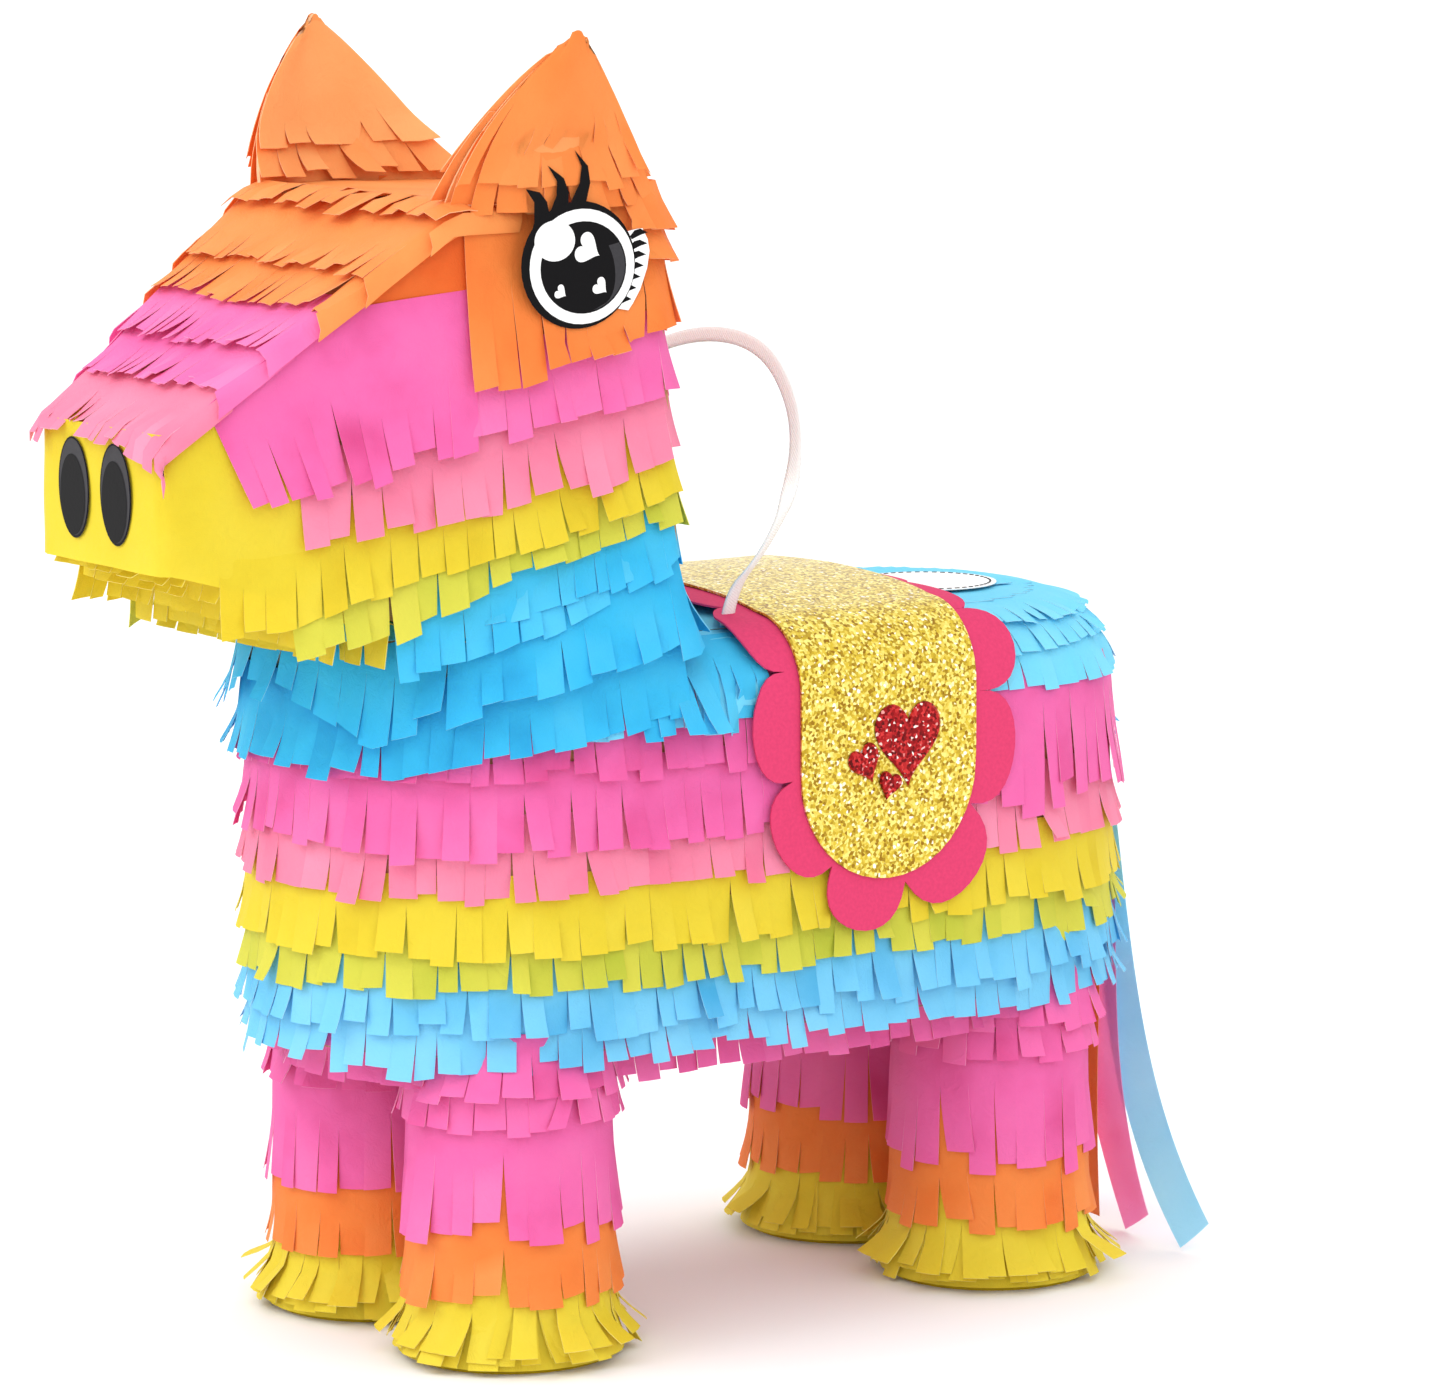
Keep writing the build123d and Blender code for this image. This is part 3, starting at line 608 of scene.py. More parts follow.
def head_core(base):
    return Vector((0.0, min(-50.0, max(-150.0, base.y)), base.z))


def under_eye(base):
    """The eye's card holds the paper flat behind it."""
    if -85.0 < base.y < -36.0 and 303.0 < base.z < 363.0:
        return 65.0 - abs(base.x)
    return 99.0


def along_neck(*table):
    """A height that follows y on the strip neck(a, z), from a table of y and height."""
    def value(a):
        return read(table, -32.0 - (abs(a) - NAPE) if abs(a) > NAPE else NAPE_Y)
    return value


work = new_rows()
low = along_neck((-118, 210), (-98, 212), (-76, 219), (-26, 238))
add_row(work, neck, head_core, -146.0, 146.0, lambda a: low(a) + 27, low, 0.45, 42, 36, lift=2.4, flare=3.0,
        tone=0.62)
add_paper("fringe_neck_top_blue", work, blue, "blue_tissue")
work = new_rows()
low = along_neck((-147, 215), (-128, 220), (-105, 229), (-84, 236), (-25, 250))
add_row(work, neck, head_core, -175.0, 175.0, lambda a: low(a) + 27, low, 0.5, 50, 41, lift=2.6, flare=3.4,
        lean=1.2,
        ragged=0.10)
add_paper("fringe_neck_pale_yellow", work, pale_yellow, "yellow_tissue")
work = new_rows()
low_two = along_neck((-167, 224), (-147, 225), (-130, 232), (-100, 239), (-84, 243), (-25, 258))
add_row(work, neck, head_core, -195.0, 195.0, lambda a: low_two(a) + 30, low_two, 0.5, 56, 42, lift=2.6,
        flare=2.8, ragged=0.07, head=3)
for i, (y, hang) in enumerate(((-176.0, 3.5), (-166.0, 6.0), (-156.0, 10.0), (-145.0, 14.0), (-133.0, 16.0),
                               (-119.0, 14.0))):
    edge = station(y)[4]
    add_row(work, lambda a, z, y=y: Vector((a, y, z)), lambda base: base + Vector((0.0, 30.0, 0.0)),
            -station(y)[3] - 1.0, station(y)[3] + 1.0, edge + 1.0, edge - hang, 0.4, 9, 43 + i,
            lift=0.8, flare=1.0, lean=0.5, ragged=0.05)
add_paper("fringe_neck_yellow", work, yellow, "yellow_tissue", "tissue_neck_yellow")


def jaw(a, v):
    y = MUZZLE_Y + v
    _, _, _, low_half, low_z = station(y)
    return Vector((a / 60.0 * (low_half + 0.6), y, low_z))


work = new_rows()
add_row(work, jaw, lambda base: base + Vector((0.0, 0.0, 40.0)), -60.0, 60.0, 0.5, 108.0, 1.0, 8, 48, head=12,
        tail=0)
add_paper("jaw_paper", work, yellow, "yellow_tissue", "tissue_jaw_yellow")

# ---------------------------------------------------------------- muzzle
# The muzzle's flat front is one sheet of yellow paper that turns round its
# corners on to the cheeks, with a strip on top. Two nostrils are stuck to it.
def muzzle(a, z):
    s = abs(a)
    if s < 32.5:
        x, y = s, -182.6
    elif s < 32.5 + 4.71:
        turn = (s - 32.5) / 3.0
        x, y = 32.5 + 3.0 * math.sin(turn), -179.6 - 3.0 * math.cos(turn)
    else:
        y = -179.6 + s - 37.21
        x = max(35.5, half_width(y, z) + 1.0)
    return Vector((math.copysign(x, a), y, z))


work = new_rows()
reach_back = lambda a: -179.6 + max(0.0, abs(a) - 37.2)
add_row(work, muzzle, lambda base: Vector((0.0, max(-170.0, base.y), base.z)), -78.0, 78.0,
        lambda a: 279.6 + 0.753 * max(0.0, min(12.0, reach_back(a) + 182.0)),
        lambda a: station(reach_back(a))[4] - 1.5, 1.0, 24, 51,
        lift=0.6, head=12, tail=0, tone=0.55)
add_row(work, lambda a, v: Vector((a / 35.0 * (35.0 + 0.17 * v), -182.4 + 0.8 * v, 279.2 + 0.6 * v)),
        lambda base: Vector((0.0, base.y, 250.0)), -34.0, 34.0, -0.4, 14.0, 1.0, 8, 52, lift=0.2, head=4,
        tail=0, tone=0.55)
add_paper("muzzle_paper", work, yellow, "yellow_tissue", "tissue_muzzle_yellow")


def outline(work, points, place, slot):
    """A flat printed shape: its outline in millimetres, put down by place(p, q)."""
    face = work.faces.new([work.verts.new(place(p, q)) for p, q in points])
    face.material_index = slot
    return face


def oval(p, q, wide, tall, lean=0.0, steps=40):
    return [(p + wide * math.cos(t) * math.cos(lean) - tall * math.sin(t) * math.sin(lean),
             q + wide * math.cos(t) * math.sin(lean) + tall * math.sin(t) * math.cos(lean))
            for t in (2.0 * math.pi * i / steps for i in range(steps))]


def print_ink(name, colour, rough=0.42):
    """Ink printed on card: nearly flat colour with a faint mottle in its gloss."""
    made, tree, shader = material(name, linear(*colour), rough)
    shader.inputs["Specular IOR Level"].default_value = 0.08
    spot = add_node(tree, "TexCoord")
    grain = add_node(tree, "TexNoise", {"Scale": 900.0, "Detail": 3.0})
    tint = add_node(tree, "Mix", data_type="RGBA")
    tint.inputs["A"].default_value = (*linear(*[c * 0.93 for c in colour]), 1.0)
    tint.inputs["B"].default_value = (*linear(*[min(255, c * 1.04 + 3) for c in colour]), 1.0)
    bump = add_node(tree, "Bump", {"Strength": 0.12, "Distance": 0.0002})
    join(tree, (spot, "Object", grain, "Vector"), (grain, "Fac", tint, "Factor"),
         (tint, "Result", shader, "Base Color"), (grain, "Fac", bump, "Height"),
         (bump, "Normal", shader, "Normal"))
    return made


ink = print_ink("black_ink", (12, 11, 13))
grey_ink = print_ink("grey_ink", (58, 57, 60))
white_card = print_ink("white_card", (250, 250, 250), 0.5)
work = bmesh.new()
for side in (-1, 1):
    middle = 12.2 * side - 2.0
    for depth, slot, shape in ((0.0, 0, oval(middle, 262.2, 9.0, 14.8, 0.05)),
                               (0.12, 1, oval(middle + 0.1, 262.3, 8.3, 14.1, 0.05)),
                               (0.24, 0, oval(middle - 0.4, 260.1, 7.2, 11.8, 0.05))):
        outline(work, shape, lambda p, q, d=depth: Vector((p, -183.75 - d, q)) * 0.001, slot)
bmesh.ops.recalc_face_normals(work, faces=work.faces)
nostrils = add_object("printed_nostrils", work, [ink, grey_ink], smooth=False)
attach(nostrils, "donkey")
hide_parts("nostrils")

# ---------------------------------------------------------------- pink of the head
# The cheek is one plain pink sheet, fringed along the bottom. Behind and
# under it go pink rows, and more of them lie across the bridge of the nose.
def cheek(side):
    def point(a, z):
        y = a + max(0.0, 290.0 - z) * 0.4 * max(0.0, -98.0 - a) / 71.0
        return Vector((side * half_width(y, z), y, z))
    return point


SLOPE = 106.4  # the length of the bridge, from the muzzle up to the brow


def bridge(a, v):
    """Across the nose and crown: a is x, hanging over the edges past 57, and v the way up."""
    if v < 0.0:
        y, z, w = -182.6 + 0.5 * v * math.exp(v / 3.0), MUZZLE_Z + v, 35.0
    elif v < SLOPE:
        y, z, w = MUZZLE_Y + v * 0.7989, MUZZLE_Z + v * 0.6015, 34.5 + 23.0 * v / SLOPE
    else:
        y, z, w = BROW_Y + v - SLOPE, CROWN_Z, 57.5
    over = abs(a) - CROWN_HALF
    if over > 0.0:
        return Vector((math.copysign(w + 1.5 * min(1.0, over / 3.0), a), y - 0.3 * over, z - over))
    return Vector((a / CROWN_HALF * w, y, z))


def bridge_core(base):
    return Vector((base.x * 0.4, -100.0 + 0.3 * (base.y + 100.0), 250.0 if base.y > -180 else base.z - 10))


def edge_of_bridge(y):
    """The height of the edge between the cheek and the bridge of the nose."""
    return CROWN_Z - max(0.0, BROW_Y - y) * 64.0 / 85.0


def cheek_top(y):
    """The pink sheet runs up to the bridge at the front and is cut lower behind."""
    return read(((MUZZLE_Y, 280.0), (-142.2, 309.9), (-133.6, 313.3), (-123.9, 316.5), (-112.1, 318.1),
                 (-102.2, 319.3),
                 (-92.0, 320.5)), y)


work = new_rows()
low = along_neck((-143.7, 248), (-83.7, 257), (-28, 268))
add_row(work, neck, head_core, -172.0, 172.0, lambda a: low(a) + 27, low, 0.42, 46, 61, lift=3.2)
add_row(work, bridge, bridge_core, -61.0, 64.0, 26, lambda a: -1.5 - 7.0 * max(0.0, (a - 20.0) / 40.0), 0.5,
        17, 62,
        lift=2.4, flare=0.8, lean=0.5, tone=0.56)
add_paper("fringe_head_light_pink", work, light_pink, "pink_tissue")
work = new_rows()
low_two = along_neck((-100, 276), (-29, 286))
add_row(work, neck, head_core, -128.0, 128.0, lambda a: low_two(a) + 26, low_two, 0.42, 34, 63, lift=3.6,
        tone=0.6)
for side in (-1, 1):
    foot = lambda a: 261.4 + (a + 157.0) * 0.212
    add_row(work, cheek(side), head_core, -170.0, -93.0, cheek_top, foot,
            lambda a: 1.0 - 19.0 / (cheek_top(a) - foot(a)), 11,
            64 + side, lift=4.2, flare=2.2, lean=0.5, head=9)
add_row(work, bridge, bridge_core, -63.0, 63.0, 48, 21, 0.42, 20, 66, lift=1.8, flare=1.6, lean=0.6, tone=0.68)
add_row(work, bridge, bridge_core, -62.0, 62.0, 66, 38, 0.40, 20, 67, lift=2.2, flare=1.6, lean=0.6, tone=0.72)
add_paper("fringe_head_pink", work, pink, "pink_tissue", "tissue_head_pink")

# ---------------------------------------------------------------- orange of the head
# Orange rows cover the top of the nose, the crown, the nape and the sides of
# the head, where the longest sheet carries the eye.
work = new_rows()
low = along_neck((-103, 291), (-28, 305.5))
add_row(work, neck, head_core, -124.0, 124.0, 342, low, 0.5, 33, 71, lift=5.0, flare=2.4, lean=0.4, head=3,
        press=under_eye)
add_row(work, neck, head_core, -80.0, 80.0, 345, 324, 0.3, 22, 72, lift=5.5, flare=3.8, tone=0.58,
        press=under_eye)
add_row(work, neck, head_core, -70.0, 70.0, 349, 335, 0.2, 19, 73, lift=5.5, flare=3.8, tone=0.6,
        press=under_eye)
for i, (top, bottom, cut, flare) in enumerate(((86, 57, 0.42, 1.9), (108, 73, 0.66, 1.5),
                                               (128, 97, 0.34, 2.0))):
    add_row(work, bridge, bridge_core, -64.0, 64.0, top, bottom, cut, 19, 74 + i, lift=1.8 + 0.5 * i,
            flare=flare, lean=0.8, tone=0.76, head=3)
add_row(work, bridge, bridge_core, -57.0, 57.0, 175, 110, 1.0, 19, 78, lift=1.6, head=8, tail=0, tone=0.8)
for side in (-1, 1):
    add_row(work, cheek(side), head_core, -143.0, -92.0, lambda a: edge_of_bridge(a) + 1.0,
            lambda a: cheek_top(a) - 5.0, 1.0,
            10, 79, lift=0.9, head=6, tail=0, tone=0.25)
add_paper("fringe_head_orange", work, orange, "orange_tissue", "tissue_head_orange")

# ---------------------------------------------------------------- ears
# Each ear is a folded card with paper glued over it, open towards the middle
# of the head, with two fringed rows at its foot.
def ear(side):
    """The ear's outer face: a goes from its front edge to its rear one, v is the height."""
    def point(a, v):
        s = a / 70.0
        t = min(1.0, max(-0.25, (v - CROWN_Z) / 51.0))
        up = max(0.0, t)
        front = Vector((51.0 + 21.0 * up, -98.0 + 30.0 * up ** 1.7))
        rear = Vector((54.0 + 19.0 * up, NAPE_Y - 35.0 * up))
        spot = front.lerp(rear, s)
        belly = math.sin(math.pi * min(1.0, max(0.0, s))) * (1.0 - up) ** 0.7
        fold = max(0.0, 1.0 - abs(s - 0.3) / 0.3)
        return Vector((side * (spot.x + 6.5 * belly + 2.2 * fold * up * (1.0 - up) * 3.0), spot.y,
                       CROWN_Z + 51.0 * t - 3.0 * (2.0 * s - 1.0) ** 2 * up ** 6))
    return point


pale_orange = tissue("pale_orange_tissue_paper", (240, 118, 46), (252, 164, 92), (255, 186, 118))
for side, name in ((1, "left"), (-1, "right")):
    work = new_rows()
    add_row(work, ear(side), lambda base: Vector((0.0, base.y, base.z)), 0.0, 70.0, 394, 341, 1.0, 8,
            91 + side, lift=0.3,
            head=14, tail=0, tone=0.6)
    add_paper("ear_card_" + name, work, pale_orange, "orange_tissue", "ear_" + name, thick=0.0012)
    work = new_rows()
    outer = lambda base: Vector((0.0, base.y, base.z))
    inner = lambda base, side=side: Vector((side * 200.0, base.y, base.z))
    add_row(work, ear(side), outer, -1.0, 71.0, 366, 342, 0.4, 10, 94 + side, lift=3.0, flare=2.4, lean=0.8,
            tone=0.55,
            press=under_eye)
    add_row(work, ear(side), outer, -2.0, 72.0, 394, 352, 0.6, 10, 97 + side, lift=3.4, lean=0.8, tone=0.62,
            head=7,
            press=under_eye)
    add_paper("fringe_ear_" + name, work, orange, "orange_tissue")
    work = new_rows()
    add_row(work, ear(side), inner, -3.0, 73.0, 371, 345, 0.5, 8, 194 + side, lift=2.4, flare=3.0, lean=1.6,
            tone=0.6)
    add_row(work, ear(side), inner, -3.0, 74.0, 392, 354, 0.78, 6, 197 + side, lift=2.4, lean=1.6, tone=0.75,
            head=7)
    add_paper("ear_lining_" + name, work, pale_orange, "orange_tissue")

# ---------------------------------------------------------------- legs
# Each leg is a papered tube: a yellow skirt at the foot, an orange row above
# it, then three pink rows up to the belly.
for place, (x, y) in (("front_left", (38.2, -68.5)), ("front_right", (-38.2, -68.5)),
                      ("rear_left", (38.2, 111.0)), ("rear_right", (-38.2, 111.0))):
    def leg(a, z, x=x, y=y):
        radius = 30.2 + 3.6 * max(0.0, (14.0 - z) / 14.0)
        return Vector((x + radius * math.cos(a / 30.0), y + radius * math.sin(a / 30.0), z))

    def axis(base, x=x, y=y):
        return Vector((x, y, base.z))
    seed = {"front_left": 100, "front_right": 120, "rear_left": 140, "rear_right": 160}[place]
    turn = 30.0 * math.pi
    shares = (("yellow", yellow, "yellow_tissue", ((34, 2.6, 0.34, 3.6, 1.0), (30, 5.0, 0.36, 6.5, 1.4))),
              ("orange", orange, "orange_tissue", ((66, 20.5, 0.7, 2.0, 1.6),)),
              ("pink", pink, "pink_tissue", ((82, 40.5, 0.46, 1.8, 1.6), (98, 73, 0.50, 2.0, 2.2),
                                              (102, 83, 0.3, 3.2, 2.8))))
    for colour, paper, slot, rows in shares:
        work = new_rows()
        if colour == "yellow":
            add_row(work, leg, axis, -turn, turn, 42, 1.4, 1.0, 16, seed + 9, lift=0.4, head=8, tail=0,
                    tone=0.6)
        for i, (top, bottom, cut, flare, lift) in enumerate(rows):
            add_row(work, leg, axis, -turn, turn, top, bottom, cut, 31 if colour == "yellow" else 25, seed + i,
                    lift=lift,
                    flare=flare, lean=2.2 if colour == "yellow" else 0.8, ragged=0.04 if bottom < 6 else 0.1,
                    tone=0.66 if colour == "yellow" else 0.52, head=3)
        for v in work.verts:
            v.co.z = max(v.co.z, 0.0004)
        nodes = ("leg_tissue_" + place,) if colour == "pink" else ()
        add_paper("leg_" + colour + "_" + place, work, paper, slot, *nodes)

# ---------------------------------------------------------------- saddle
# A cloth cut in scallops lies over the back and down both flanks. A gold
# strip goes over it, with three red hearts on each side.
def over_back(y, s, off):
    """The body's section unrolled: s is the distance from the middle of the back."""
    roll = 18.0
    reach, side = abs(s), math.copysign(1.0, s)
    if reach < CARD - roll:
        return Vector((s, y, BACK_Z + off + crown_of_back(CARD - roll - reach, y)))
    turn = (reach - CARD + roll) / roll
    if turn < math.pi / 2.0:
        return Vector((side * (CARD - roll + (roll + off) * math.sin(turn)), y,
                       BACK_Z - roll + (roll + off) * math.cos(turn)))
    return Vector((side * (CARD + off), y, BACK_Z - roll - (reach - CARD + roll - roll * math.pi / 2.0)))


def petals(notches, steps=14):
    """The cloth's cut edge: round petals from notch to notch, each with its own depth."""
    edge = []
    for (one, depth), (two, _) in zip(notches, notches[1:] + notches[:1]):
        one, two = Vector(one), Vector(two)
        middle, half = (one + two) / 2.0, (two - one) / 2.0
        out = Vector((half.y, -half.x)).normalized()
        if out.dot(middle - Vector((43.5, min(100.0, max(-100.0, middle.y))))) < 0.0:
            out = -out
        for k in range(steps):
            t = math.pi * k / steps
            along = math.cos(t) * (1.0 + 0.12 * math.sin(t))
            edge.append(middle - half * along + out * (depth * math.sin(t) ** 0.8))
    return edge


def laid_cloth(edge, off, grid=4.0, wave=0.0):
    """A flat outline (y, s) cut into small faces and laid over the back."""
    work = bmesh.new()
    work.faces.new([work.verts.new((y, s, 0.0)) for y, s in edge])
    for direction, low, high in ((Vector((1, 0, 0)), -20.0, 110.0), (Vector((0, 1, 0)), -170.0, 170.0)):
        cut = low
        while cut < high:
            bmesh.ops.bisect_plane(work, geom=work.verts[:] + work.edges[:] + work.faces[:],
                                   plane_co=direction * cut, plane_no=direction)
            cut += grid
    for v in work.verts:
        ripple = wave * noise.noise(Vector((v.co.x * 0.03, v.co.y * 0.03, 4.0)))
        v.co = over_back(v.co.x, v.co.y, off + ripple) * 0.001
    return work


def fleck(name, deep, plain, pale, rough):
    """Glitter card: packed flecks, each with its own tilt, and a tint from deep to pale that paints the light and
    shade each fleck catches; the rarest are painted white glints.
    """
    made, tree, shader = material(name, linear(*plain), rough)
    spot = add_node(tree, "TexCoord")
    cells = add_node(tree, "TexVoronoi", {"Scale": 1150.0})
    tint = add_node(tree, "SeparateColor")
    ramp = add_node(tree, "ValToRGB")
    ramp.color_ramp.elements[0].color = (*linear(*deep), 1.0)
    ramp.color_ramp.elements[1].color = (*linear(*pale), 1.0)
    ramp.color_ramp.elements[1].position = 0.93
    ramp.color_ramp.elements.new(0.45).color = (*linear(*plain), 1.0)
    # A near-white stop: painted glints on the rare flecks that catch the lamp.
    ramp.color_ramp.elements.new(0.995).color = (1.0, 0.97, 0.9, 1.0)
    tilt = add_node(tree, "Bump", {"Strength": 0.9, "Distance": 0.0006})
    join(tree, (spot, "Object", cells, "Vector"), (cells, "Color", tint, "Color"), (tint, "Red", ramp, "Fac"),
         (ramp, "Color", shader, "Base Color"), (tint, "Green", tilt, "Height"),
         (tilt, "Normal", shader, "Normal"))
    shader.inputs["Metallic"].default_value = 0.55
    return made


saddle_pink = print_ink("saddle_pink_card", (212, 62, 106), 0.7)
# Glitter colours: deep is painted shade and pale painted light, for flecks that turn from the lamp or catch it.
gold = fleck("gold_glitter_card", (146, 104, 12), (218, 188, 54), (250, 236, 132), 0.3)
red = fleck("red_glitter_card", (84, 0, 4), (158, 8, 16), (214, 54, 54), 0.3)
near = [((78.0, 61.4), 15.0), ((77.5, 85.0), 15.5), ((75.0, 119.4), 18.5), ((50.3, 140.9), 17.5),
        ((22.9, 133.4), 14.5),
        ((8.6, 106.5), 13.5), ((6.5, 74.9), 13.0), ((9.0, 45.0), 10.0), ((9.0, 15.0), 10.0)]
far = [((y, -s), depth) for (y, s), depth in zip([notch for notch, _ in near[::-1]],
                                                 [10.0, 13.0, 13.5, 14.5, 17.5, 18.5,
                                                                                     15.5, 15.0, 8.0])]
ring = near + far + [((78.5, -33.0), 8.0), ((79.0, 0.0), 8.0), ((78.5, 33.0), 8.0)]
work = laid_cloth(petals(ring), 4.2, wave=0.5)
work.verts.layers.float.new("tone")
cloth = add_paper("saddle_cloth_scalloped", work, saddle_pink, "saddle_card", "saddle_cloth", thick=0.0006)
edge = [(11.0, s) for s in range(-104, 105, 4)]
edge += [(43.5 - 32.5 * math.cos(t), 106.0 + 33.0 * math.sin(t)) for t in (math.pi * i / 20 for i in range(1,
        20))]
edge += [(76.0, -s) for s in range(-104, 105, 4)]
edge += [(43.5 + 32.5 * math.cos(t), -106.0 - 33.0 * math.sin(t)) for t in (math.pi * i / 20 for i in range(1,
        20))]
work = laid_cloth(edge, 5.2, wave=0.3)
strip = add_paper("saddle_strip_gold", work, gold, "gold_glitter", "saddle_strip", thick=0.0007)


def heart(y, z, width, lean=0.0, tall=1.0, steps=44):
    """A heart's outline round (y, z), with its point down."""
    shape = []
    for i in range(steps):
        t = 2.0 * math.pi * i / steps
        p = 16.0 * math.sin(t) ** 3 / 32.0 * width
        q = tall * width / 32.0 * (13 * math.cos(t) - 5 * math.cos(2 * t) - 2 * math.cos(3 * t) - math.cos(4 * t))
        shape.append((y + p * math.cos(lean) - q * math.sin(lean), z + p * math.sin(lean) + q * math.cos(lean)))
    return shape


for side, name in ((1, "left"), (-1, "right")):
    work = bmesh.new()
    for y, z, width, lean in ((50.0, 179.5, 24.6, 0.0), (34.0, 173.5, 11.4, 0.4), (43.2, 166.0, 8.2, -0.3)):
        for off, size in ((5.9, 1.0), (6.7, 0.92)):
            outline(work, heart(y, z, width * size, lean, 1.16), lambda p, q,
                    off=off: Vector((side * (CARD + off), p, q)) * 0.001, 0)
    work.faces.ensure_lookup_table()
    faces = work.faces[:]
    for low_face, high_face in zip(faces[::2], faces[1::2]):
        low_ring, high_ring = list(low_face.verts), list(high_face.verts)
        for k in range(len(low_ring)):
            n = (k + 1) % len(low_ring)
            work.faces.new((low_ring[k], low_ring[n], high_ring[n], high_ring[k]))
    bmesh.ops.recalc_face_normals(work, faces=work.faces)
    hearts = add_object("saddle_hearts_red_" + name, work, [red], smooth=False)
    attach(hearts, "donkey")
    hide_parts("saddle_hearts_" + name)

# ---------------------------------------------------------------- eyes
# Each eye is a printed card cut round its black rim: white, a black iris with
# highlights and hearts, three long lashes above and short ones at the back.
LASHES = (((-18.1, 22.6), (-13.2, 21.5), (-10.8, 18.7), (-10.0, 15.4), (-12.0, 11.0), (-17.0, 7.0),
           (-15.2, 13.0), (-15.2, 18.7)),
          ((-10.5, 29.1), (-4.9, 25.2), (-3.2, 21.1), (-3.4, 17.9), (-6.0, 13.0), (-11.0, 13.0), (-7.5, 20.3),
           (-7.3, 24.4)),
          ((-1.2, 33.2), (3.4, 28.5), (4.2, 23.6), (2.7, 17.9), (0.5, 14.0), (-4.5, 15.0), (0.5, 23.6),
           (1.2, 28.5)))
for side, name in ((1, "left"), (-1, "right")):
    centre, out, up = Vector((65.5, -60.9, 326.2)), Vector((1.0, 0.0, 0.0)), Vector((0.0, 0.0, 1.0))

    def put(p, q, lift=0.0):
        spot = centre + Vector((0.0, p, 0.0)) + up * q + out * lift
        return Vector((side * spot.x, spot.y, spot.z)) * 0.001
    work = bmesh.new()
    shapes = [(0.0, 2, [(17.0, 9.0), (20.5, 9.6), (22.4, 9.7), (24.2, 6.5), (24.9, 3.0), (24.0, -2.0),
                        (21.6, -8.0), (19.0, -12.0),
                        (17.4, -14.0), (12.0, -13.0)])]
    shapes += [(0.05, 0, lash) for lash in LASHES]
    shapes += [(0.1, 0, oval(0.0, 0.0, 19.8, 18.5))]
    shapes += [(0.1, 0, [(18.0 - 0.15 * k * k, 7.6 - 3.2 * k), (19.6 - 0.15 * k * k, 9.2 - 3.2 * k),
                         (21.6 - 0.15 * k * k, 9.6 - 3.2 * k), (24.3 - 0.16 * k * k, 8.4 - 3.2 * k),
                         (21.8 - 0.15 * k * k, 7.8 - 3.2 * k),
                         (18.6 - 0.15 * k * k, 6.6 - 3.2 * k)]) for k in range(7)]
    shapes += [(0.2, 2, oval(1.3, -0.5, 18.2, 16.7)), (0.3, 0, oval(1.7, -0.8, 14.9, 13.4))]
    shapes += [(0.4, 1,
                [(1.7 + 14.4 * math.cos(t),
                  -0.8 + 12.9 * math.sin(t)) for t in (-1.35 + 0.1 * i for i in range(20))]
                + [(1.7 + 9.5 + 1.6 * math.cos(t) - 3.0 * (t + 0.3) ** 2,
                    -0.8 + 11.5 * math.sin(t)) for t in (0.55 - 0.19 * i for i in range(10))])]
    shapes += [(0.5, 2, oval(-8.3, 7.3, 7.0, 5.9)), (0.5, 2, heart(2.9, 4.6, 9.2, 1.1)),
               (0.5, 2, heart(-6.4, -7.6, 4.3, 1.0)), (0.5, 2, heart(7.4, -6.6, 5.4, 0.9))]
    for lift, slot, shape in shapes:
        outline(work, shape, lambda p, q, lift=lift: put(p, q, lift * 0.5), slot)
    for face in work.faces:
        face.normal_update()
        if face.normal.x * side < 0.0:
            face.normal_flip()
    bmesh.ops.triangulate(work, faces=work.faces[:])
    eye = add_object("printed_eye_" + name, work, [ink, grey_ink, white_card], smooth=False)
    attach(eye, "donkey")
    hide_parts("eye_" + name)

# ---------------------------------------------------------------- fill flap and seal
# The flap over the fill hole has its own square of blue paper, and a round
# white seal with a ring of dashes holds it shut.
work = bmesh.new()
bmesh.ops.create_grid(work, x_segments=10, y_segments=10, size=0.5)
shade = work.verts.layers.float.new("tone")
for v in work.verts:
    x, y = v.co.x * 42.8, 110.2 + v.co.y * 43.0
    v.co = Vector((x, y, 214.5 + crown_of_back(edge_in(x, y), y) + 0.2 * noise.noise(v.co * 6.0))) * 0.001
    v[shade] = 0.6
add_paper("flap_paper", work, sky, "blue_tissue", "flap_tissue", body="flap")


def on_seal(reach, turn, lift=0.0):
    x, y = 6.0 + reach * math.sin(turn), 109.0 + reach * math.cos(turn)
    return Vector((x, y, 215.2 + lift + crown_of_back(edge_in(x, y), y))) * 0.001


work = bmesh.new()
spoke = [work.verts.new((0.001 * reach, 0.0, 0.0)) for reach in (0.0, 4.5, 9.0, 13.5, 18.0, 22.5)]
for one, two in zip(spoke, spoke[1:]):
    work.edges.new((one, two))
bmesh.ops.spin(work, geom=work.verts[:] + work.edges[:], cent=(0, 0, 0), axis=(0, 0, 1), angle=2.0 * math.pi,
               steps=60, use_merge=True, use_duplicate=False)
bmesh.ops.remove_doubles(work, verts=work.verts, dist=0.00001)
for v in work.verts:
    v.co = on_seal(v.co.length * 1000.0, math.atan2(v.co.x, v.co.y))
for face in work.faces:
    face.material_index = 2
for k in range(48):
    t, w = 2.0 * math.pi * k / 48, 0.036
    outline(work, [(20.9, t - w), (20.9, t + w), (20.3, t + w), (20.3, t - w)], lambda reach,
            turn: on_seal(reach, turn, 0.2), 0)
bmesh.ops.recalc_face_normals(work, faces=work.faces)
for face in work.faces:
    if face.normal.z < 0.0:
        face.normal_flip()
seal = add_object("round_seal", work, [ink, grey_ink, white_card], smooth=False)
